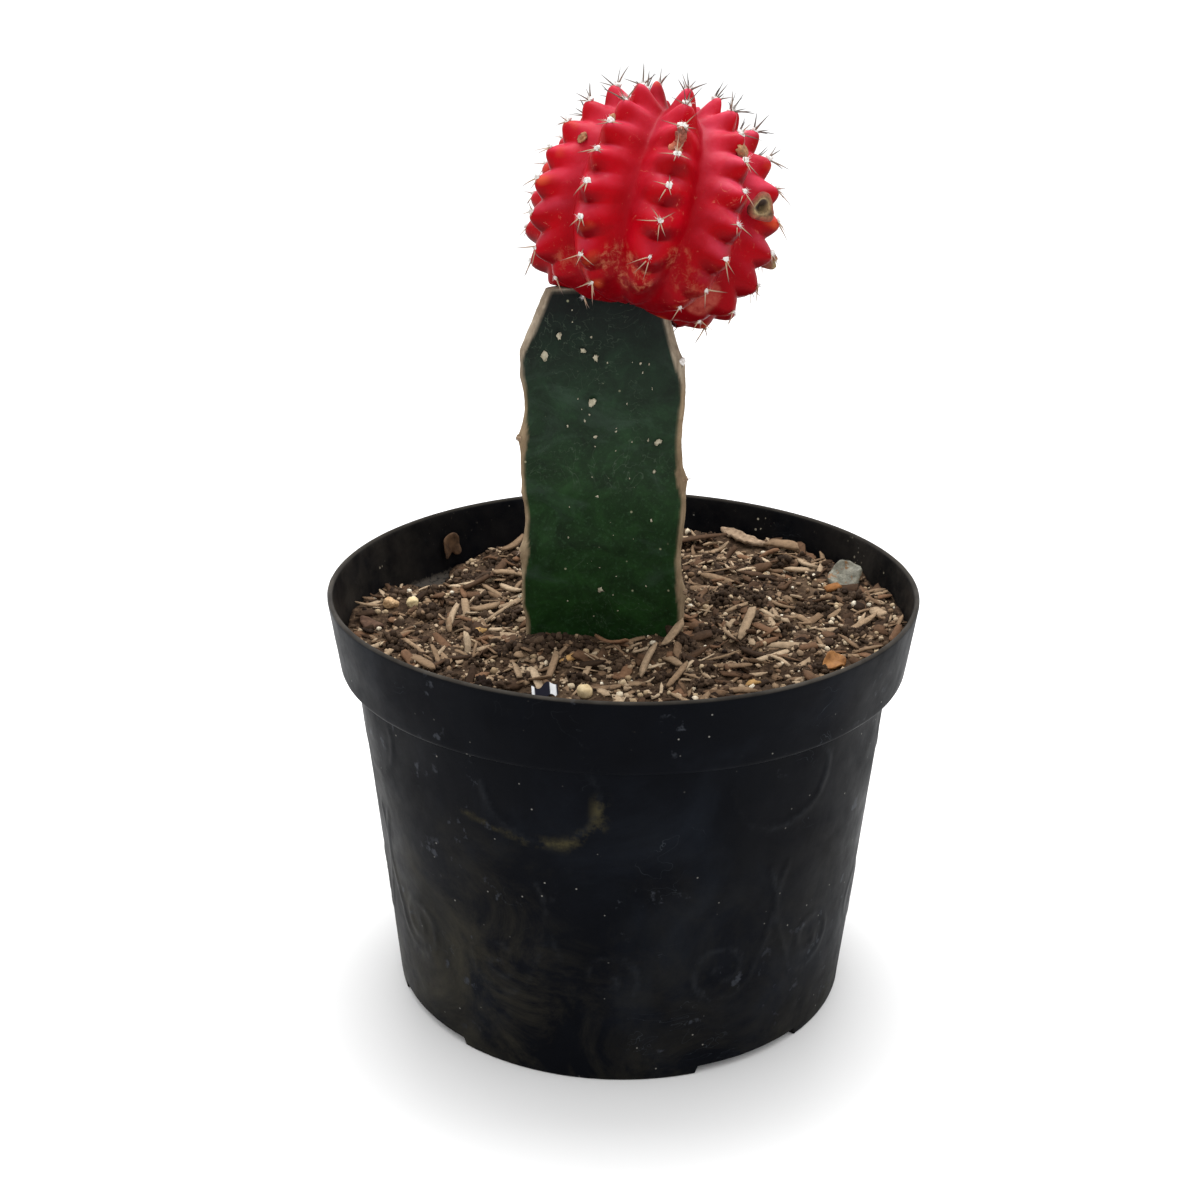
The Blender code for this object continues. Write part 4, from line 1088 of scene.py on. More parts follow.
def make_rootstock(look):
    """The green stem: cork swells and roughens its margins, and knots stand on them at the areoles."""
    points, faces, edge = stem_shape(0.0, STEM_ROWS)
    z = points[:, 2]
    out = (points - (STEM_X, 0, 0)) * (1, 1, 0)
    out /= np.maximum(np.linalg.norm(out, axis=-1, keepdims=True), 1e-6)
    right = (points[:, 0] > STEM_X) & (points[:, 1] < 0)
    width = CORK_WIDTH + CORK_WIDTH_RIGHT * right + uneven(points, CORK_WAVER)
    width = width + CORK_WIDTH_BEVEL * rise(z, *CORK_BEVEL_START) * (1 - 0.45 * right)
    knots = np.zeros(len(z))
    for spot, _ in knot_places():
        width = width + KNOT_CORK * bell(np.linalg.norm(points - spot, axis=-1) / KNOT_CORK_REACH)
        knots += KNOT_HEIGHT * bell(np.linalg.norm((points - spot) * (1, 1, 0.75), axis=-1) / KNOT_REACH)
    cork = rise(width - edge, -0.00025, 0.00025)
    cork = np.maximum(cork, 0.8 * rise(z, STEM_TOP - 0.0008, STEM_TOP - 0.0004))
    crust = cork * (0.00012 + uneven(points, CORK_CRUST))
    relief = (uneven(points, STEM_SWELL) + crust) * rise(STEM_TOP - z, 0.0, 0.002) + knots
    values = {"cork": cork, "height": rise(z, SOIL_LEVEL - 0.01, STEM_TOP)}
    points = points + out * relief[:, None]
    add_piece("green_stem", points, faces, "green_stem", look, ("rootstock",), values, sharp_angle=60)


def scion_axes():
    """The scion's axis, the direction that its rib 0 faces and the direction to that rib's right."""
    axis = unit(SCION_AXIS)
    front = np.array([0.0, -1.0, 0.0])
    front = unit(front - axis * (front @ axis))
    return axis, front, np.cross(axis, front)


def rib_wave(lat, lon):
    """How far across its rib each point is, from 0 at the crest to 1 in the furrow, and its tubercle's swell.

    The swell is a cosine of the way up the rib whose phase is bent, so each chin is blunter above than
    below. The ridge that a chin sends to each furrow rises and sharpens on the way.
    """
    turn = lon * RIBS / 360
    nearest = np.round(turn)
    across = 2 * np.abs(turn - nearest)
    shift = RIB_SHIFT[nearest.astype(int) % RIBS]
    step = (lat - shift) / AREOLE_STEP - RIDGE_RISE * across
    phase = 2 * np.pi * (step + CHIN_LEAD)
    swell = 0.5 + 0.5 * np.cos(phase + CHIN_LEAN * np.sin(phase))
    return across, swell ** (CHIN_BLUNTNESS + FLANK_SHARPNESS * across)


def scion_radius(lat, lon):
    """The skin's distance from the scion's centre: a ball with furrows and tubercles, sunk at crown and base.

    The tubercles grow towards the crown and fade low down, and the bottom of each furrow is rounded.
    """
    across, chin = rib_wave(lat, lon)
    ends = (0.22 + 0.78 * rise(lat, -60, -34)) * rise(lat, -80, -62) * fall(lat, 70, 86)
    spread = NOSE_SPREAD + 0.25 * rise(lat, 25, 60)
    nose = (NOSE_SHARE * bell(across / spread) + 1 - NOSE_SHARE) * (1 - across**2)
    tubercle = TUBERCLE_HEIGHT * chin * ends * (1 + CROWN_GAIN * rise(lat, 30, 62)) * nose
    rounded = across - across**7 / 7
    furrow = FURROW_DEPTH * (1 - np.cos(np.pi / 2 * rounded)) * np.cos(np.radians(lat)) ** 0.6
    furrow = furrow * (0.45 + 0.55 * rise(lat, -66, -36))
    crown = CROWN_DEPTH * bell((90 - lat) / CROWN_REACH)
    base = BASE_DEPTH * bell((90 + lat) / BASE_REACH)
    bulge = BULGE * bell((lat - BULGE_LATITUDE) / BULGE_REACH)
    return CREST_RADIUS + bulge + tubercle - furrow - crown - base


def scion_out(lat, lon):
    """The direction from the scion's centre at each latitude and longitude."""
    axis, front, right = scion_axes()
    a, b = np.radians(lat)[..., None], np.radians(lon)[..., None]
    return np.cos(a) * (np.cos(b) * front + np.sin(b) * right) + np.sin(a) * axis


def scion_point(lat, lon):
    """The points of the skin at latitudes and longitudes."""
    lat, lon = np.broadcast_arrays(np.asarray(lat, dtype=float), np.asarray(lon, dtype=float))
    return SCION_CENTRE + scion_out(lat, lon) * scion_radius(lat, lon)[..., None]


def over_stem(points, margin):
    """Whether each point, seen from above, lies over the stem's section or within a margin of it."""
    across = points[..., :2] - (STEM_X, 0)
    inside = np.ones(points.shape[:-1], dtype=bool)
    for rib in STEM_RIBS:
        out = rib_direction(rib)
        reach = rib_reach(rib, np.clip(points[..., 2], STEM_BASE, STEM_TOP))
        inside &= across @ out < reach + margin
        inside &= across @ -out < rib[2] * 0.5 + margin
    return inside


def seat_on_stem(points):
    """Lifts what would sink into the stem to just above its top, which makes the graft's flat seat."""
    sunk = over_stem(points, GAP) & (points[..., 2] < STEM_TOP + GAP)
    points = points.copy()
    points[sunk, 2] = STEM_TOP + GAP
    return points


def scuffed(points):
    """How scuffed the skin is at each point: round patches low on the front, seen from the front."""
    amount = np.zeros(points.shape[:-1])
    for x, z, reach, strength in SCUFFS:
        away = np.hypot(points[..., 0] - x, (points[..., 2] - z) * 1.15)
        amount = np.maximum(amount, strength * fall(away, 0.55 * reach, reach))
    return amount * (points[..., 1] < 0)


def patched(points):
    """How far each point is inside the pale oval patch, which fades towards its upper left."""
    x, z, reach = PALE_PATCH
    away = np.hypot(points[..., 0] - x, (points[..., 2] - z) * 0.9)
    away = away + 0.0006 * smooth_noise(points, 0.0030, 97)
    lit = rise(points[..., 0] - points[..., 2], x - z - reach, x - z + 0.6 * reach)
    return fall(away, 0.80 * reach, reach) * lit * (points[..., 1] < 0)


def make_scion(look):
    """The ribbed, tubercled red head: painted shade below, a painted sheen above that is weaker on the front
    rib.
    """
    longitudes = np.linspace(0, 360, SCION_COLUMNS, endpoint=False)
    lat, lon = np.meshgrid(np.linspace(-88, 88, SCION_ROWS), longitudes, indexing="ij")
    rings = scion_point(lat, lon)
    rings = rings + scion_out(lat, lon) * uneven(rings, SKIN_BUMPS)[..., None]
    across, chin = rib_wave(lat, lon)
    upward = unit(np.cross(np.gradient(rings, axis=1), np.gradient(rings, axis=0)))[..., 2]
    # Masks of the painted sheen: weaker on the front rib, brighter towards the right
    front_rib_sheen_cut = fall(np.minimum(lon, 360 - lon), 14, 42) * fall(lat, 20, 46)
    lit = 0.55 + 0.45 * rise(rings[..., 0] - SCION_CENTRE[0], -0.020, 0.012)
    points, faces = closed_stack(rings, scion_point(-90.0, 0.0), scion_point(90.0, 0.0))
    values = {
        "furrow": across,
        "tip": rise(chin, 0.55, 0.98) * fall(across, 0.1, 0.55),
        "scuff": scuffed(rings),
        "patch": patched(rings),
        # Painted sheen on upward faces, weaker on the front rib and brighter on the right
        "sky": rise(upward, 0.10, 1.00) * (1 - 0.6 * front_rib_sheen_cut) * lit,
        # Painted shade on downward faces and low down by the graft
        "under": np.maximum(0.95 * fall(upward, -0.60, 0.15), 0.50 * fall(rings[..., 2], 0.190, 0.206)),
    }
    values = {key: np.concatenate([value.ravel(), (0, 0)]) for key, value in values.items()}
    add_piece("red_head", seat_on_stem(points), faces, "red_flesh", look, ("scion",), values)


def areoles():
    """Each areole's latitude, place and outward direction, clear of the stem and of the bare scuffed foot."""
    rib, number = np.meshgrid(range(RIBS), range(LOWEST_AREOLE, HIGHEST_AREOLE + 1), indexing="ij")
    lat = (number * AREOLE_STEP + RIB_SHIFT[rib]).ravel()
    lon = (rib * 360 / RIBS).ravel()
    place, out = scion_point(lat, lon), scion_out(lat, lon)
    low = place[:, 2] < STEM_TOP + AREOLE_CLEARANCE
    clear = ~(over_stem(place, AREOLE_CLEARANCE) & low) & (lat < HIGHEST_LATITUDE)
    clear &= (lon != BARE_RIB * 360 / RIBS) | (lat > BARE_BELOW)
    return lat[clear], place[clear], out[clear]


def tubes(roots, directions, bends, lengths, radii, stations, sides):
    """Tapered spines: each runs along its direction, bends aside by the square of the way and thins out."""
    t = np.linspace(0, 1, stations, endpoint=False)[None, :, None]
    lengths, radii = lengths[:, None, None], radii[:, None, None]
    centres = roots[:, None] + directions[:, None] * lengths * t + bends[:, None] * lengths * t**2
    side, other = cross_frame(directions)
    turn = np.linspace(0, 2 * np.pi, sides, endpoint=False)[None, None, :, None]
    ring = side[:, None, None] * np.cos(turn) + other[:, None, None] * np.sin(turn)
    taper = (1 - t) ** 0.7
    points = centres[:, :, None] + ring * (radii * taper)[:, :, None]
    count = len(roots)
    tips = roots[:, None] + directions[:, None] * lengths + bends[:, None] * lengths
    points = np.concatenate([points.reshape(count, -1, 3), roots[:, None], tips], axis=1)
    each = stations * sides + 2
    along = np.concatenate([np.repeat(t[0, :, 0], sides), [0, 1]])
    return points, repeat_faces(stack_faces(stations, sides), count, each), np.tile(along, count), each


def make_spines(look, draw):
    """Fans of curved spines on every areole: spread down and aside on the flanks, upright at the crown."""
    lat, place, out = areoles()
    axis = scion_axes()[0]
    up = unit(axis - out * (out @ axis)[:, None])
    side = np.cross(out, up)
    crown, low = rise(lat, 20, 45), fall(lat, -44, -24)
    spines = []
    for number, (turn, lean) in enumerate(SPINE_FAN):
        if number < SPREAD_SPINES:
            chance = 0.72 - 0.15 * crown - 0.34 * low
        else:
            chance = 0.16 + 0.66 * crown
        present = draw.random(len(lat)) < chance
        angle = np.radians(turn + draw.normal(0, SPINE_TURN_SPREAD, len(lat)))
        tilt = np.radians(np.clip(lean + draw.normal(0, SPINE_LEAN_SPREAD, len(lat)) - 14 * crown, 8, 80))
        along = up * np.cos(angle)[:, None] + side * np.sin(angle)[:, None]
        direction = out * np.cos(tilt)[:, None] + along * np.sin(tilt)[:, None]
        length = draw.uniform(*SPINE_LENGTH, len(lat)) * (1 + 0.12 * crown)
        tip = place + direction * length[:, None]
        present &= ~(over_stem(tip, 0.0006) & (tip[:, 2] < STEM_TOP + 0.001))
        bend = -out * 0.10 + draw.normal(0, 0.05, (len(lat), 3))
        tone = np.clip(0.15 + 0.75 * crown + draw.normal(0, 0.15, len(lat)), 0, 1)
        spines.append([row[present] for row in (place + along * 0.0003, direction, bend, length, tone)])
    root, direction, bend, length, tone = (np.concatenate(rows) for rows in zip(*spines))
    radius = SPINE_RADIUS * (0.75 + 0.5 * draw.random(len(length))) * (1 + 0.30 * tone)
    points, faces, along, each = tubes(root, direction, bend, length, radius, 6, 5)
    values = {"along": along, "tone": np.repeat(tone, each)}
    add_piece("head_spines", points, faces, "red_flesh", look, values=values)


def ball_grid(rows, columns):
    """A unit ball as rings of points between two poles, with its faces."""
    lat = np.radians(np.linspace(-90, 90, rows + 2)[1:-1])[:, None]
    rings = polar(np.cos(lat), np.linspace(0, 2 * np.pi, columns, endpoint=False), np.sin(lat))
    return closed_stack(rings, (0, 0, -1), (0, 0, 1))


def lumps(centres, ups, sizes, squash, unevenness, shape, draw, crumble):
    """Many uneven lumps: a ball flattened along its up direction, its points pushed in and out at random.

    Crumbling pushes the points of each lump along its own radii by noise of about a third of its size.
    """
    points, faces = shape
    count, each = len(centres), len(points)
    side, other = cross_frame(ups)
    jitter = 1 + unevenness * (draw.random((count, each)) - 0.5)
    local = points[None] * jitter[..., None] * sizes[:, None, None] * draw.uniform(0.8, 1.2, (count, 1, 3))
    placed = local[..., :1] * side[:, None] + local[..., 1:2] * other[:, None]
    placed = placed + local[..., 2:] * squash * ups[:, None]
    if crumble:
        seat = draw.uniform(0, 90, (count, 1, 3))
        grain = uneven(placed / sizes[:, None, None] + seat, ((crumble, 0.55, 5, 3),))
        placed = placed * (1 + grain)[..., None]
    return placed + centres[:, None], repeat_faces(faces, count, each), each


def make_wool(look, draw):
    """Woolly cushions at the areoles, each a low lump with a ruff of short hairs."""
    lat, place, out = areoles()
    growth = 1 + 0.35 * rise(lat, 5, 35) - 0.38 * fall(lat, -40, -14)
    size = CUSHION_RADIUS * draw.uniform(*CUSHION_SPREAD, len(lat)) * growth
    points, faces, _ = lumps(place + out * 0.0001, out, size, 0.62, 0.1, ball_grid(13, 20), draw, 0.55)
    add_piece("areole_wool", points, faces, "red_flesh", look)
    root = np.repeat(place + out * 0.0002, HAIRS_EACH, axis=0)
    direction = unit(np.repeat(out, HAIRS_EACH, axis=0) * 0.7 + draw.normal(0, 0.75, (len(root), 3)))
    length = draw.uniform(*HAIR_LENGTH, len(root)) * np.repeat(growth, HAIRS_EACH)
    bend = draw.normal(0, 0.3, (len(root), 3))
    points, faces, _, _ = tubes(root, direction, bend, length, np.full(len(root), HAIR_RADIUS), 3, 3)
    add_piece("areole_hairs", points, faces, "red_flesh", look)


def make_dry_parts(crust, stub):
    """Tan knobs, a brown crust down one rib and dried stubs with a hollow end, all on the head's skin."""
    draw = np.random.default_rng(23)
    lat, lon, size = (np.array(column, dtype=float) for column in zip(*TAN_KNOBS))
    lat = np.concatenate([lat, np.linspace(*CRUST_SPAN, CRUST_BEADS)])
    lon = np.concatenate([lon, CRUST_RIB * 360 / RIBS + draw.normal(0, 0.7, CRUST_BEADS)])
    size = np.concatenate([size, draw.uniform(*CRUST_BEAD_SIZE, CRUST_BEADS)])
    place, out = scion_point(lat, lon), scion_out(lat, lon)
    points, faces, each = lumps(place, out, size, 0.55, 0.3, ball_grid(15, 22), draw, 0.5)
    way = np.clip((lat - CRUST_SPAN[0]) / (CRUST_SPAN[1] - CRUST_SPAN[0]), 0, 1)
    crusted = 0.33 + 0.40 * way**4 + 0.1 * draw.random(len(size))
    depth = np.where(np.arange(len(size)) < len(TAN_KNOBS), 0.12, crusted)
    add_piece("dry_knobs", points, faces, "red_flesh", crust, values={"depth": np.repeat(depth, each)})
    for number, (direction, distance, mouth, size, length) in enumerate(STUBS):
        base = SCION_CENTRE + unit(direction) * distance
        points, faces, depth = stub_shape(base, unit(mouth), size, length)
        add_piece("dried_stub_%d" % (number + 1), points, faces, "red_flesh", stub, values={"depth": depth})


def stub_shape(base, mouth, size, length):
    """A torn stub sunk in the skin: a rough ball drawn out towards its mouth, where it is dented deep.

    Its depth value runs from the crust at the back over a brown lip to a pit, tan below and darkened by
    painted shade at its upper left.
    """
    colat = np.linspace(176, 3, 60)[:, None]
    turn = np.linspace(0, 2 * np.pi, 72, endpoint=False)
    outward, forward = np.sin(np.radians(colat)), np.cos(np.radians(colat))
    dent = bell(colat / STUB_MOUTH)
    side, other = cross_frame(mouth)
    flat = side * np.cos(turn)[:, None] + other * np.sin(turn)[:, None]
    radius = size * (1 - 0.70 * dent) * (1 + 0.16 * np.sin(3 * turn + 0.7) * outward)
    rings = base + flat * (radius * outward)[..., None] + mouth * (radius * forward * length)[..., None]
    rings = rings - mouth * (0.60 * size * bell(colat / STUB_PIT))[..., None]
    rough = size * uneven(rings, ((0.22, 1.1 * size, 91, 2), (0.07, 0.3 * size, 92, 3)))
    rings = rings + unit(rings - base) * rough[..., None]
    points, faces = closed_stack(rings, rings[0].mean(axis=0), rings[-1].mean(axis=0))
    # Painted shade: the pit darkens towards its upper left
    shade_spot = base + 0.45 * size * unit((-0.5, 0.0, 0.87))
    shade = bell(np.linalg.norm(rings - shade_spot, axis=-1) / (0.70 * size))
    pit = rise(dent, 0.25, 0.60) * (0.42 + 0.58 * shade)
    depth = np.maximum(0.28 * fall(colat, 50, 95), pit)
    return points, faces, np.concatenate([depth.ravel(), (0, depth[-1].mean())])


def make_knots(felt, wool, spine, draw):
    """Corky felt, one white tuft and a few broken spines on the knots of the green stem's ribs."""
    spots, outs = (np.array(column) for column in zip(*knot_places()))
    spots = spots + outs * 0.0005
    white = (spots[:, 2] > TUFT_ABOVE) & (spots[:, 0] > STEM_X + 0.01)
    tufts = (("stem_felt", felt, ~white, FELT_SIZE), ("stem_tuft", wool, white, TUFT_SIZE))
    for name, look, chosen, span in tufts:
        size = draw.uniform(*span, chosen.sum())
        points, faces, _ = lumps(spots[chosen], outs[chosen], size, 0.7, 0.1, ball_grid(11, 16), draw, 0.5)
        add_piece(name, points, faces, "green_stem", look)
    root = np.repeat(spots, STEM_SPINES_EACH, axis=0)
    direction = unit(np.repeat(outs, STEM_SPINES_EACH, axis=0) + draw.normal(0, 0.6, (len(root), 3)))
    length = draw.uniform(*STEM_SPINE_LENGTH, len(root))
    bend = draw.normal(0, 0.1, direction.shape)
    radius = np.full(len(root), STEM_SPINE_RADIUS)
    points, faces, along, _ = tubes(root, direction, bend, length, radius, 4, 5)
    values = {"along": along, "tone": np.full(len(along), 0.6)}
    add_piece("stem_spines", points, faces, "green_stem", spine, values=values)


def make_scars(look):
    """Cream scars on the stem's faces: a few large ones on the front face and small ones all round."""
    draw = np.random.default_rng(31)
    grid = stem_shape(0.0, PLAIN_STEM_ROWS)[0][:-2].reshape(PLAIN_STEM_ROWS, -1, 3)
    row = draw.integers(LOWEST_SCAR_ROW, PLAIN_STEM_ROWS - 2, SCAR_COUNT)
    face = draw.integers(0, 3, SCAR_COUNT) * (MARGIN_STEPS + FACE_STEPS) + MARGIN_STEPS
    column = face + draw.integers(3, FACE_STEPS - 3, SCAR_COUNT)
    way = draw.random((SCAR_COUNT, 1))
    centre = grid[row, column] + (grid[row - 1, column] - grid[row, column]) * way
    out = (centre - (STEM_X, 0, 0)) * (1, 1, 0)
    size = draw.uniform(*SCAR_SIZE, SCAR_COUNT)
    large = np.array([(STEM_X + across, FRONT_FACE_Y, z) for across, z, _ in LARGE_SCARS])
    centre, size = np.vstack([centre, large]), np.concatenate([size, [scar[2] for scar in LARGE_SCARS]])
    out = np.vstack([out, np.tile((0.0, -1.0, 0.0), (len(large), 1))])
    points, faces, _ = lumps(centre, unit(out), size, 0.35, 0.9, ball_grid(5, 9), draw, 0.8)
    add_piece("stem_scars", points, faces, "green_stem", look)


def scatter(count, draw, wall_margin, stem_margin):
    """Random spots on the soil, evenly spread, kept off the wall, the stem and the loose pieces."""
    spots = np.zeros((0, 3))
    while len(spots) < count:
        radius = SCATTER_RADIUS * np.sqrt(draw.random(count * 2))
        tries = polar(radius, draw.uniform(0, 2 * np.pi, count * 2), SOIL_LEVEL)
        x, y, _ = tries.T
        keep = (radius < wall_reach(x, y) - wall_margin) & ~over_stem(tries, stem_margin)
        for clear_x, clear_y, clear in KEPT_CLEAR:
            keep &= np.hypot(x - clear_x, y - clear_y) > clear
        spots = np.vstack([spots, tries[keep]])
    x, y, _ = spots[:count].T
    return np.stack([x, y, crumbly_height(x, y)], -1)


def keep_off_loose(centre, reach):
    """Pushes bits away from the loose pieces, each to its own reach beyond the piece's clearance."""
    centre = centre.copy()
    for x, y, clear in KEPT_CLEAR:
        away = centre[:, :2] - (x, y)
        short = np.maximum(clear + reach - np.hypot(*away.T), 0)
        centre[:, :2] += unit(away) * short[:, None]
    return centre


def pull_inside(centre, half):
    """Moves long bits towards the pot's axis until neither end passes the wall."""
    centre = centre.copy()
    for end in (centre + half, centre - half):
        radius = np.hypot(end[:, 0], end[:, 1])
        over = np.maximum(radius - (wall_reach(end[:, 0], end[:, 1]) - WALL_MARGIN), 0)
        centre[:, :2] -= end[:, :2] / radius[:, None] * over[:, None]
    return centre


def keep_off_stem(centre, half):
    """Moves bits outwards from the stem until neither end reaches under its skin."""
    centre = centre.copy()
    for _ in range(4):
        for end in (half, -half, 0 * half):
            level = (centre + end) * (1, 1, 0) + (0, 0, SOIL_LEVEL)
            inside = over_stem(level, STEM_MARGIN)
            push = unit(centre[:, :2] - (STEM_X, 0)) * STEM_PUSH
            centre[inside, :2] += push[inside]
    return centre


def sliver_shapes(centre, turn, tilt, roll, size, bend, draw):
    """Many slivers: four-cornered bars that bow up and aside, each end with its own width and slanted cut.

    Along each bar a parameter runs from -1/2 to 1/2. The width shrinks towards each end by a power of it, the
    bow grows with its square, and the corners slide along the bar by its fifth power times their own offset.
    """
    count, stations, corners = len(centre), SLIVER_STATIONS, 4
    length, width, height = (column[:, None] for column in size.T)
    along = polar(np.cos(tilt), turn, np.sin(tilt))
    flat = np.stack([-np.sin(turn), np.cos(turn), 0 * turn], -1)
    up = np.cross(along, flat)
    side = flat * np.cos(roll)[:, None] + up * np.sin(roll)[:, None]
    up = np.cross(along, side)
    t = np.linspace(-0.5, 0.5, stations)
    ends = np.where(t < 0, *draw.uniform(0.25, 0.95, (2, count, 1)))
    taper = 1 - (2 * np.abs(t)) ** draw.uniform(2.5, 9, (count, 1)) * (1 - ends)
    slant = draw.normal(0, 0.8, (count, 1)) * (2 * t) ** 5
    arc = (t**2 - 0.08) * length
    line = centre[:, None] + along[:, None] * (length * t)[..., None]
    line = line + up[:, None] * (bend[:, :1] * arc)[..., None]
    line = line + side[:, None] * (bend[:, 1:] * arc)[..., None]
    box = np.array(((-0.5, -0.5), (0.5, -0.5), (0.42, 0.5), (-0.42, 0.5)))
    rough = 1 + 0.3 * (draw.random((count, stations, corners)) - 0.5)
    across = box[:, 0] * (width * taper)[..., None] * rough
    tall = box[:, 1] * (height * (0.6 + 0.4 * taper))[..., None]
    points = line[:, :, None] + side[:, None, None] * across[..., None] + up[:, None, None] * tall[..., None]
    points = points + along[:, None, None] * (slant[..., None] * across)[..., None]
    each = stations * corners
    caps = np.array(((3, 2, 1, 0), tuple(range(each - corners, each))))
    return points, repeat_faces([grid_faces(stations, corners), caps], count, each), each


def add_litter(name, points, faces, look, tone, each):
    """A piece of many flat-faced bits on the soil, each bit with its own tone."""
    add_piece(name, points, faces, "soil", look, values={"tone": np.repeat(tone, each)}, smooth=False)


def make_slivers(name, count, spans, lean, look, draw):
    """Wood slivers that lie at all angles on the soil, clear of the wall and the stem."""
    size = np.stack([draw.uniform(*span, count) for span in spans], -1)
    centre = scatter(count, draw, SCATTER_MARGIN, SCATTER_MARGIN)
    turn = draw.uniform(0, 2 * np.pi, count)
    tilt = draw.normal(0, lean, count)
    roll = draw.normal(0, 0.35, count)
    centre[:, 2] += size[:, 2] * 0.4 + 0.35 * size[:, 0] * np.abs(np.sin(tilt))
    half = polar(1, turn, 0) * size[:, :1] / 2
    centre = keep_off_stem(pull_inside(keep_off_loose(centre, 0.25 * size[:, 0]), half), half)
    bend = draw.normal(0, SLIVER_BEND, (count, 2))
    points, faces, each = sliver_shapes(centre, turn, tilt, roll, size, bend, draw)
    add_litter(name, points, faces, look, draw.random(count), each)


def make_placed_chips(kind, look, draw):
    """The larger chips of the photographed side of one kind."""
    x, y, lift, length, width, turn, tilt, tone = np.transpose(PLACED_CHIPS[kind])
    centre = np.stack([x, y, crumbly_height(x, y) + lift], -1)
    size = np.stack([length, width, np.full(len(x), CHIP_THICKNESS)], -1)
    bend = draw.normal(0, SLIVER_BEND, (len(x), 2))
    roll = draw.normal(0, 0.25, len(x))
    points, faces, each = sliver_shapes(centre, np.radians(turn), np.radians(tilt), roll, size, bend, draw)
    add_litter("chips_" + kind, points, faces, look, tone, each)


def lay(points, piece):
    """Lays a loose piece's points on the soil: tilted about X, turned about Z and moved to its spot."""
    a, b = math.radians(piece.turn), math.radians(piece.tilt)
    tilted = np.array(((1, 0, 0), (0, math.cos(b), -math.sin(b)), (0, math.sin(b), math.cos(b))))
    turned = np.array(((math.cos(a), -math.sin(a), 0), (math.sin(a), math.cos(a), 0), (0, 0, 1)))
    height = float(soil_height(*piece.spot)) + piece.lift
    return points @ (turned @ tilted).T + (*piece.spot, height)


def nugget(size, outline, fullness, curl, rough, seed):
    """A closed lump: a flattened ball with an uneven outline, curled up by the square of the way along it.

    The fullness is the power of the cosine of latitude that draws each ring in, so a low one gives a flake.
    """
    angle = np.linspace(0, 2 * np.pi, NUGGET_COLUMNS, endpoint=False)
    corners = np.linspace(0, 2 * np.pi, len(outline) + 1)
    edge = np.interp(angle, corners, (*outline, outline[0]))
    edge = (edge + np.roll(edge, 3) + np.roll(edge, -3)) / 3
    lat = np.radians(np.linspace(-84, 84, 29))[:, None]
    reach = np.cos(lat) ** fullness * edge
    length, width, thick = (0.5 * side for side in size)
    x, y = length * reach * np.cos(angle), width * reach * np.sin(angle)
    z = thick * np.sin(lat) + curl * (x / length) ** 2 * length + 0 * x
    rings = np.stack([x, y, z], -1)
    push = uneven(rings, ((rough * min(size), 0.4 * size[1], seed, 4),))
    rings = rings + unit(rings * (1 / length, 1 / width, 1 / thick)) * push[..., None]
    rings[..., 2] += 1.4 * rough * length * smooth_noise(rings * (1, 1, 0), 0.5 * size[1], seed + 9)
    return closed_stack(rings, rings[0].mean(axis=0), rings[-1].mean(axis=0))


def make_loose_pieces(looks):
    """The single pebbles and flakes that lie on the soil."""
    for node, look in looks.items():
        piece = LOOSE_PIECES[node]
        chance = random.Random(piece.seed)
        outline = [chance.uniform(*CORNER_SHARE) for _ in range(piece.sides)]
        points, faces = nugget(piece.size, outline, piece.fullness, piece.curl, piece.rough, piece.seed)
        add_piece(node + "_fine", lay(points, piece), faces, piece.slot, look, (node,))


def make_wall_scrap(look):
    """A dry leaf scrap with two lobes, stuck to the inside of the wall above the soil."""
    x, y, z = WALL_SCRAP_SPOT
    angle = math.atan2(y, x)
    slope = math.atan2(RIM_RADIUS - COLLAR_FOOT_RADIUS, COLLAR_DROP)
    reach = float(inside_radius(z))
    wall = warp_rim([[reach * math.cos(angle), reach * math.sin(angle), z]])[0]
    inward = unit((-math.cos(angle), -math.sin(angle), math.tan(slope)))
    across = np.array((math.sin(angle), -math.cos(angle), 0.0))
    upward = np.cross(inward, across)
    way = np.linspace(0, 360, NUGGET_COLUMNS, endpoint=False)
    lobes = 1.02 + 0.06 * np.sin(np.radians(5 * way))
    for height, middle, reach_round in WALL_SCRAP_LOBES:
        lobes += height * bell((way - middle) / reach_round)
    points, faces = nugget(WALL_SCRAP_SIZE, list(lobes), 0.25, 0.0, 0.22, 12)
    bow = WALL_SCRAP_SIZE[0] ** 2 / (8 * reach)
    centre = wall + inward * (GAP + WALL_SCRAP_SIZE[2] / 2 + bow)
    points = centre + points @ np.array((across, upward, inward))
    add_piece("wall_scrap_fine", points, faces, "dark_bark", look, ("wall_scrap",))


def make_crumbs(name, count, span, squash, unevenness, grid, lift, crumble, look, draw):
    """Clods, crumbs or grains half sunk in the soil, small ones far more often than large ones."""
    size = draw.uniform(0, 1, count) ** 2 * (span[1] - span[0]) + span[0]
    centre = scatter(count, draw, SCATTER_MARGIN, SCATTER_MARGIN / 2)
    half = size[:, None] * (1, 0, 0)
    centre = keep_off_stem(pull_inside(keep_off_loose(centre, 0.8 * size), half), half)
    centre[:, 2] = crumbly_height(*centre[:, :2].T) + size * lift
    up = unit(np.stack([draw.normal(0, 0.3, count), draw.normal(0, 0.3, count), np.ones(count)], -1))
    points, faces, each = lumps(centre, up, size, squash, unevenness, ball_grid(*grid), draw, crumble)
    add_litter(name, points, faces, look, draw.random(count), each)


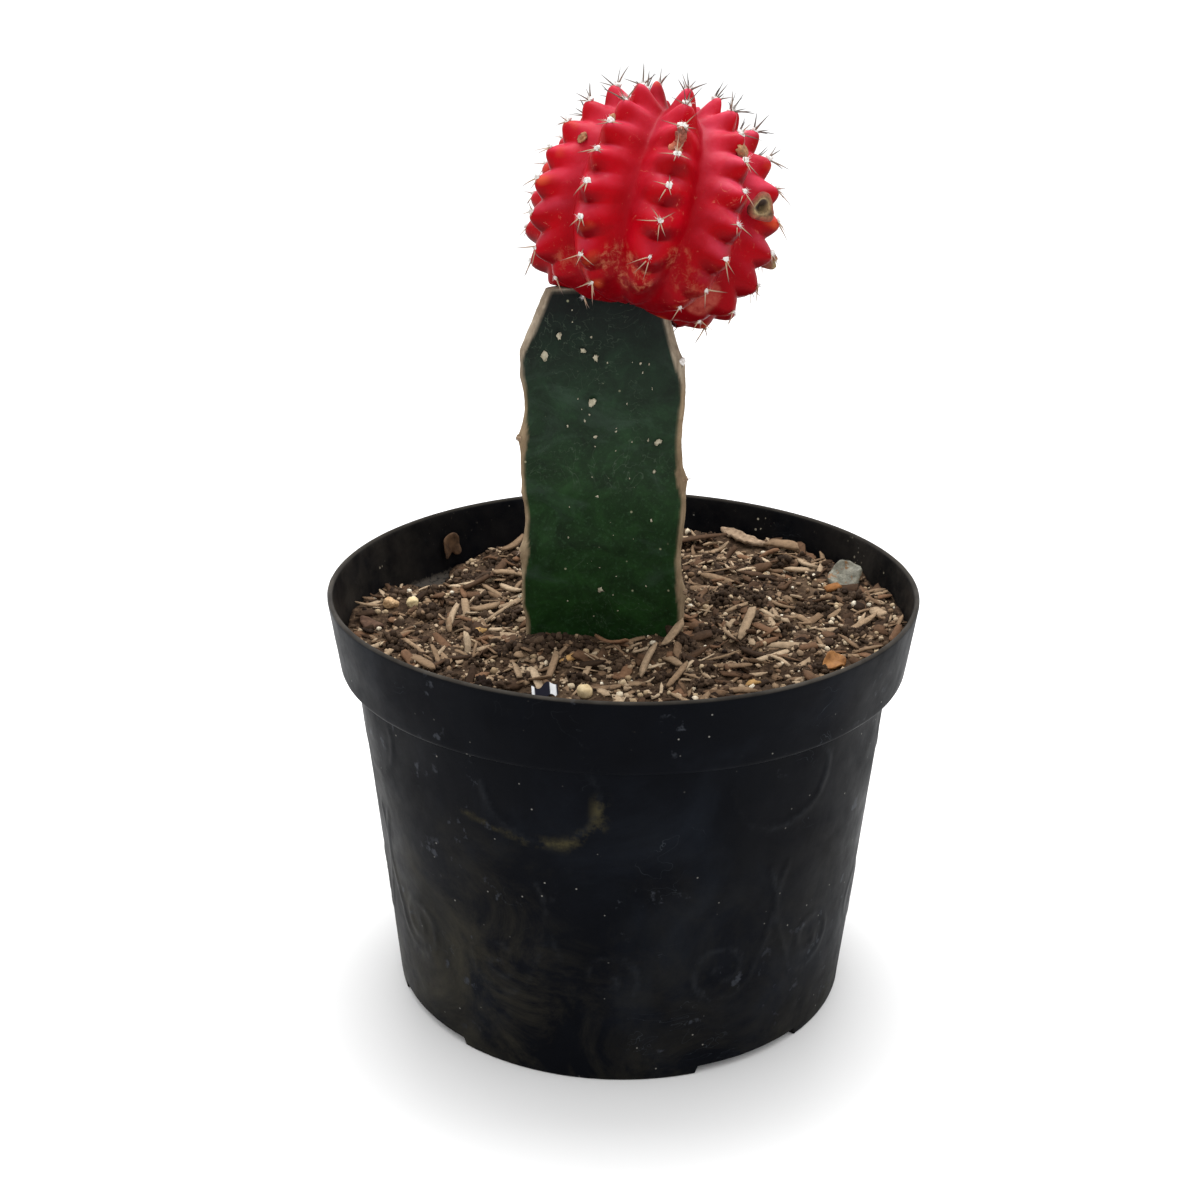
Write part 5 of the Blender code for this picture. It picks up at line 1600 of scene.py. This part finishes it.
def make_heaps(look):
    """Heaps of crumbs that cling together: low domes of lumps, some at the stem's foot, the rest anywhere."""
    draw = np.random.default_rng(37)
    anywhere = scatter(HEAP_COUNT, draw, HEAP_MARGIN, HEAP_MARGIN)
    placed = np.array(PLACED_HEAPS)
    reach = np.concatenate([placed[:, 2], draw.uniform(*HEAP_REACH, HEAP_COUNT)])
    spots = keep_off_loose(np.vstack([placed[:, :2], anywhere[:, :2]]), 0.8 * reach)
    spots, reach = np.repeat(spots, HEAP_CRUMBS, axis=0), np.repeat(reach, HEAP_CRUMBS)
    share = np.sqrt(draw.random(len(reach)))
    angle = draw.uniform(0, 2 * np.pi, len(reach))
    size = draw.uniform(*HEAP_CRUMB_SHARE, len(reach)) * reach
    centre = np.column_stack([spots, 0 * share]) + polar(reach * share, angle, 0)
    half = size[:, None] * (1, 0, 0)
    centre = keep_off_stem(pull_inside(centre, half), half)
    lift = HEAP_RISE * reach * (1 - share**2) * draw.random(len(reach))
    centre[:, 2] = crumbly_height(*centre[:, :2].T) + lift
    up = unit(draw.normal(0, 1, (len(reach), 3)))
    points, faces, each = lumps(centre, up, size, 0.85, 0.3, ball_grid(3, 6), draw, 0.6)
    add_litter("crumb_heaps", points, faces, look, 0.15 + 0.75 * draw.random(len(reach)), each)


def make_film(look):
    """A scrap of shiny black film, creased once: a strip that rises to its crease and falls beyond it."""
    piece = LOOSE_PIECES["plastic_scrap"]
    length, width, thick = piece.size
    t = np.linspace(-0.5, 0.5, 25)
    crease = 0.30 * width * (1 - np.abs(2 * (t - 0.12)) ** 0.9)
    skew = width * (0.12 * np.sin(9 * t) + 0.20 * t)
    corners = np.array(((-0.5, -0.5), (0.5, -0.5), (0.5, 0.5), (-0.5, 0.5)))
    rings = np.empty((len(t), 4, 3))
    rings[..., 0] = (length * t)[:, None]
    rings[..., 1] = skew[:, None] + corners[:, 0] * (width * (0.85 + 0.15 * np.cos(11 * t)))[:, None]
    rings[..., 2] = crease[:, None] - 0.15 * width + corners[:, 1] * (FILM_SHEET_SHARE * thick)
    points, faces = closed_stack(rings, rings[0].mean(axis=0), rings[-1].mean(axis=0))
    way = points[:, 0] / length
    # Painted highlight: white glint bands across the film
    white = sum(np.abs(way - middle) < half for middle, half in FILM_GLINT_BANDS)
    add_piece("plastic_scrap_fine", lay(points, piece), faces, piece.slot, look, ("plastic_scrap",),
              {"tone": 1.0 * white}, sharp_angle=30)


def stage_and_light():
    """A pale floor under soft, even studio light with a gentle key from above and behind."""
    bpy.ops.mesh.primitive_plane_add(size=FLOOR_SIZE, location=(0, 0, 0))
    floor = bpy.context.object
    floor.name = "floor"
    paint = Look("floor_paint", 0.9)
    paint.dress((FLOOR_TONE, FLOOR_TONE, FLOOR_TONE))
    floor.data.materials.append(paint.material)
    make_sky()
    make_key()


def make_sky():
    """An overcast sky: dim at the horizon and bright overhead."""
    world = bpy.data.worlds.new("studio")
    bpy.context.scene.world = world
    world.use_nodes = True
    tree = world.node_tree
    direction = tree.nodes.new("ShaderNodeTexCoord")
    split = tree.nodes.new("ShaderNodeSeparateXYZ")
    tree.links.new(direction.outputs["Generated"], split.inputs["Vector"])
    height = tree.nodes.new("ShaderNodeMapRange")
    tree.links.new(split.outputs["Z"], height.inputs["Value"])
    height.inputs["To Min"].default_value = SKY_LOW
    height.inputs["To Max"].default_value = SKY_HIGH
    tree.links.new(height.outputs["Result"], tree.nodes["Background"].inputs["Strength"])
    tree.nodes["Background"].inputs["Color"].default_value = (1.0, 1.0, 1.0, 1)


def add_aimed(name, data, place, target, roll=0.0):
    """A lamp or camera at a place, its -Z axis turned to a target, then rolled about that axis."""
    item = bpy.data.objects.new(name, data)
    bpy.context.scene.collection.objects.link(item)
    item.location = place
    back = unit(np.array(item.location) - target)
    right = unit(np.cross((0, 0, 1), back))
    up = np.cross(back, right)
    angle = math.radians(roll)
    right = right * math.cos(angle) + up * math.sin(angle)
    matrix = np.eye(4)
    matrix[:3] = np.stack([right, np.cross(back, right), back, item.location], -1)
    item.matrix_world = Matrix(matrix.tolist())
    return item


def make_key():
    """A square softbox aimed at the plant."""
    data = bpy.data.lights.new("key", "AREA")
    data.size = KEY_SIZE
    data.energy = KEY_POWER
    add_aimed("key", data, KEY_PLACE, KEY_TARGET)


def make_camera():
    """The camera, at the photograph's place and framing."""
    data = bpy.data.cameras.new("camera")
    data.lens = CAMERA_LENS
    data.sensor_width = CAMERA_SENSOR
    data.shift_x, data.shift_y = CAMERA_SHIFT
    bpy.context.scene.camera = add_aimed("camera", data, CAMERA_PLACE, CAMERA_TARGET, CAMERA_ROLL)


make_camera()
stage_and_light()
bpy.context.scene.view_settings.view_transform = "Standard"

draw = np.random.default_rng(7)
wool = plain_look("wool", 0.95, (0.52, 0.48, 0.44), (0.90, 0.89, 0.87), 1800, 0.0003)
felt = plain_look("felt", 0.95, (0.12, 0.070, 0.040), (0.36, 0.26, 0.17), 1200)
spine = spine_look()
crust = hollow_look("dry_crust", (0.0, (0.34, 0.20, 0.09)), (0.4, (0.40, 0.105, 0.058)),
                    (0.7, (0.16, 0.040, 0.024)), (1.0, (0.05, 0.014, 0.010)))
# The stub's darkest stop is painted shade in its pit
stub = hollow_look("dry_stub", (0.0, (0.24, 0.045, 0.030)), (0.28, (0.20, 0.115, 0.055)),
                   (0.55, (0.30, 0.21, 0.10)), (0.80, (0.030, 0.016, 0.010)))
make_pot(pot_look())
make_soil(soil_look())
make_rootstock(stem_look())
make_scars(plain_look("scar", 0.9, (0.28, 0.25, 0.17), (0.50, 0.46, 0.35), 900))
make_scion(scion_look())
make_spines(spine, draw)
make_wool(wool, draw)
make_dry_parts(crust, stub)
make_knots(felt, wool, spine, draw)

litter = {
    "tan": litter_look("tan_fibre", (0.140, 0.082, 0.047), (0.285, 0.192, 0.117), (0.52, 0.397, 0.268), 0.5),
    "bark": litter_look("brown_bark", (0.030, 0.017, 0.010), (0.095, 0.053, 0.030), (0.200, 0.108, 0.060)),
    "clod": litter_look("dark_clod", (0.016, 0.009, 0.006), (0.055, 0.034, 0.021), (0.115, 0.075, 0.048)),
    "cream": litter_look("cream_grain", (0.34, 0.24, 0.14), (0.58, 0.45, 0.29), (0.78, 0.71, 0.57)),
    "orange": litter_look("orange_bits", (0.20, 0.070, 0.020), (0.34, 0.16, 0.055), (0.46, 0.28, 0.11)),
}
for name, kind, *sliver_rule in SLIVERS:
    make_slivers(name, *sliver_rule, litter[kind], draw)
make_crumbs("big_clods", *BIG_CLODS, litter["clod"], draw)
make_heaps(litter["clod"])
for name, kind, *crumb_rule in CRUMBS:
    make_crumbs(name, *crumb_rule, litter[kind], draw)
for kind in PLACED_CHIPS:
    make_placed_chips(kind, litter[kind], draw)
make_loose_pieces({
    "cream_pebble": plain_look("cream_stone", 0.75, (0.42, 0.30, 0.15), (0.70, 0.56, 0.34), 500),
    "cream_grain_left": plain_look("tan_stone", 0.8, (0.36, 0.21, 0.10), (0.60, 0.42, 0.24), 500),
    "cream_grain_right": plain_look("yellow_stone", 0.7, (0.50, 0.37, 0.18), (0.74, 0.62, 0.38), 420),
    "stone_flake": plain_look("grey_flake", 0.35, (0.10, 0.097, 0.074), (0.28, 0.27, 0.215), 600, 0.0006,
                              (0.20, 0.11, 0.05)),
    "amber_chip": plain_look("amber_leaf", 0.6, (0.16, 0.060, 0.016), (0.40, 0.185, 0.055), 420),
    "dark_bark": plain_look("dark_bark", 0.85, (0.030, 0.014, 0.009), (0.13, 0.070, 0.042), 380, 0.0004),
    "bark_strip": plain_look("tan_strip", 0.9, (0.16, 0.105, 0.066), (0.40, 0.29, 0.195), 700, 0.0003),
})
make_film(film_look())
make_wall_scrap(plain_look("leaf_scrap", 0.85, (0.022, 0.012, 0.007), (0.150, 0.082, 0.042), 330, 0.0003))
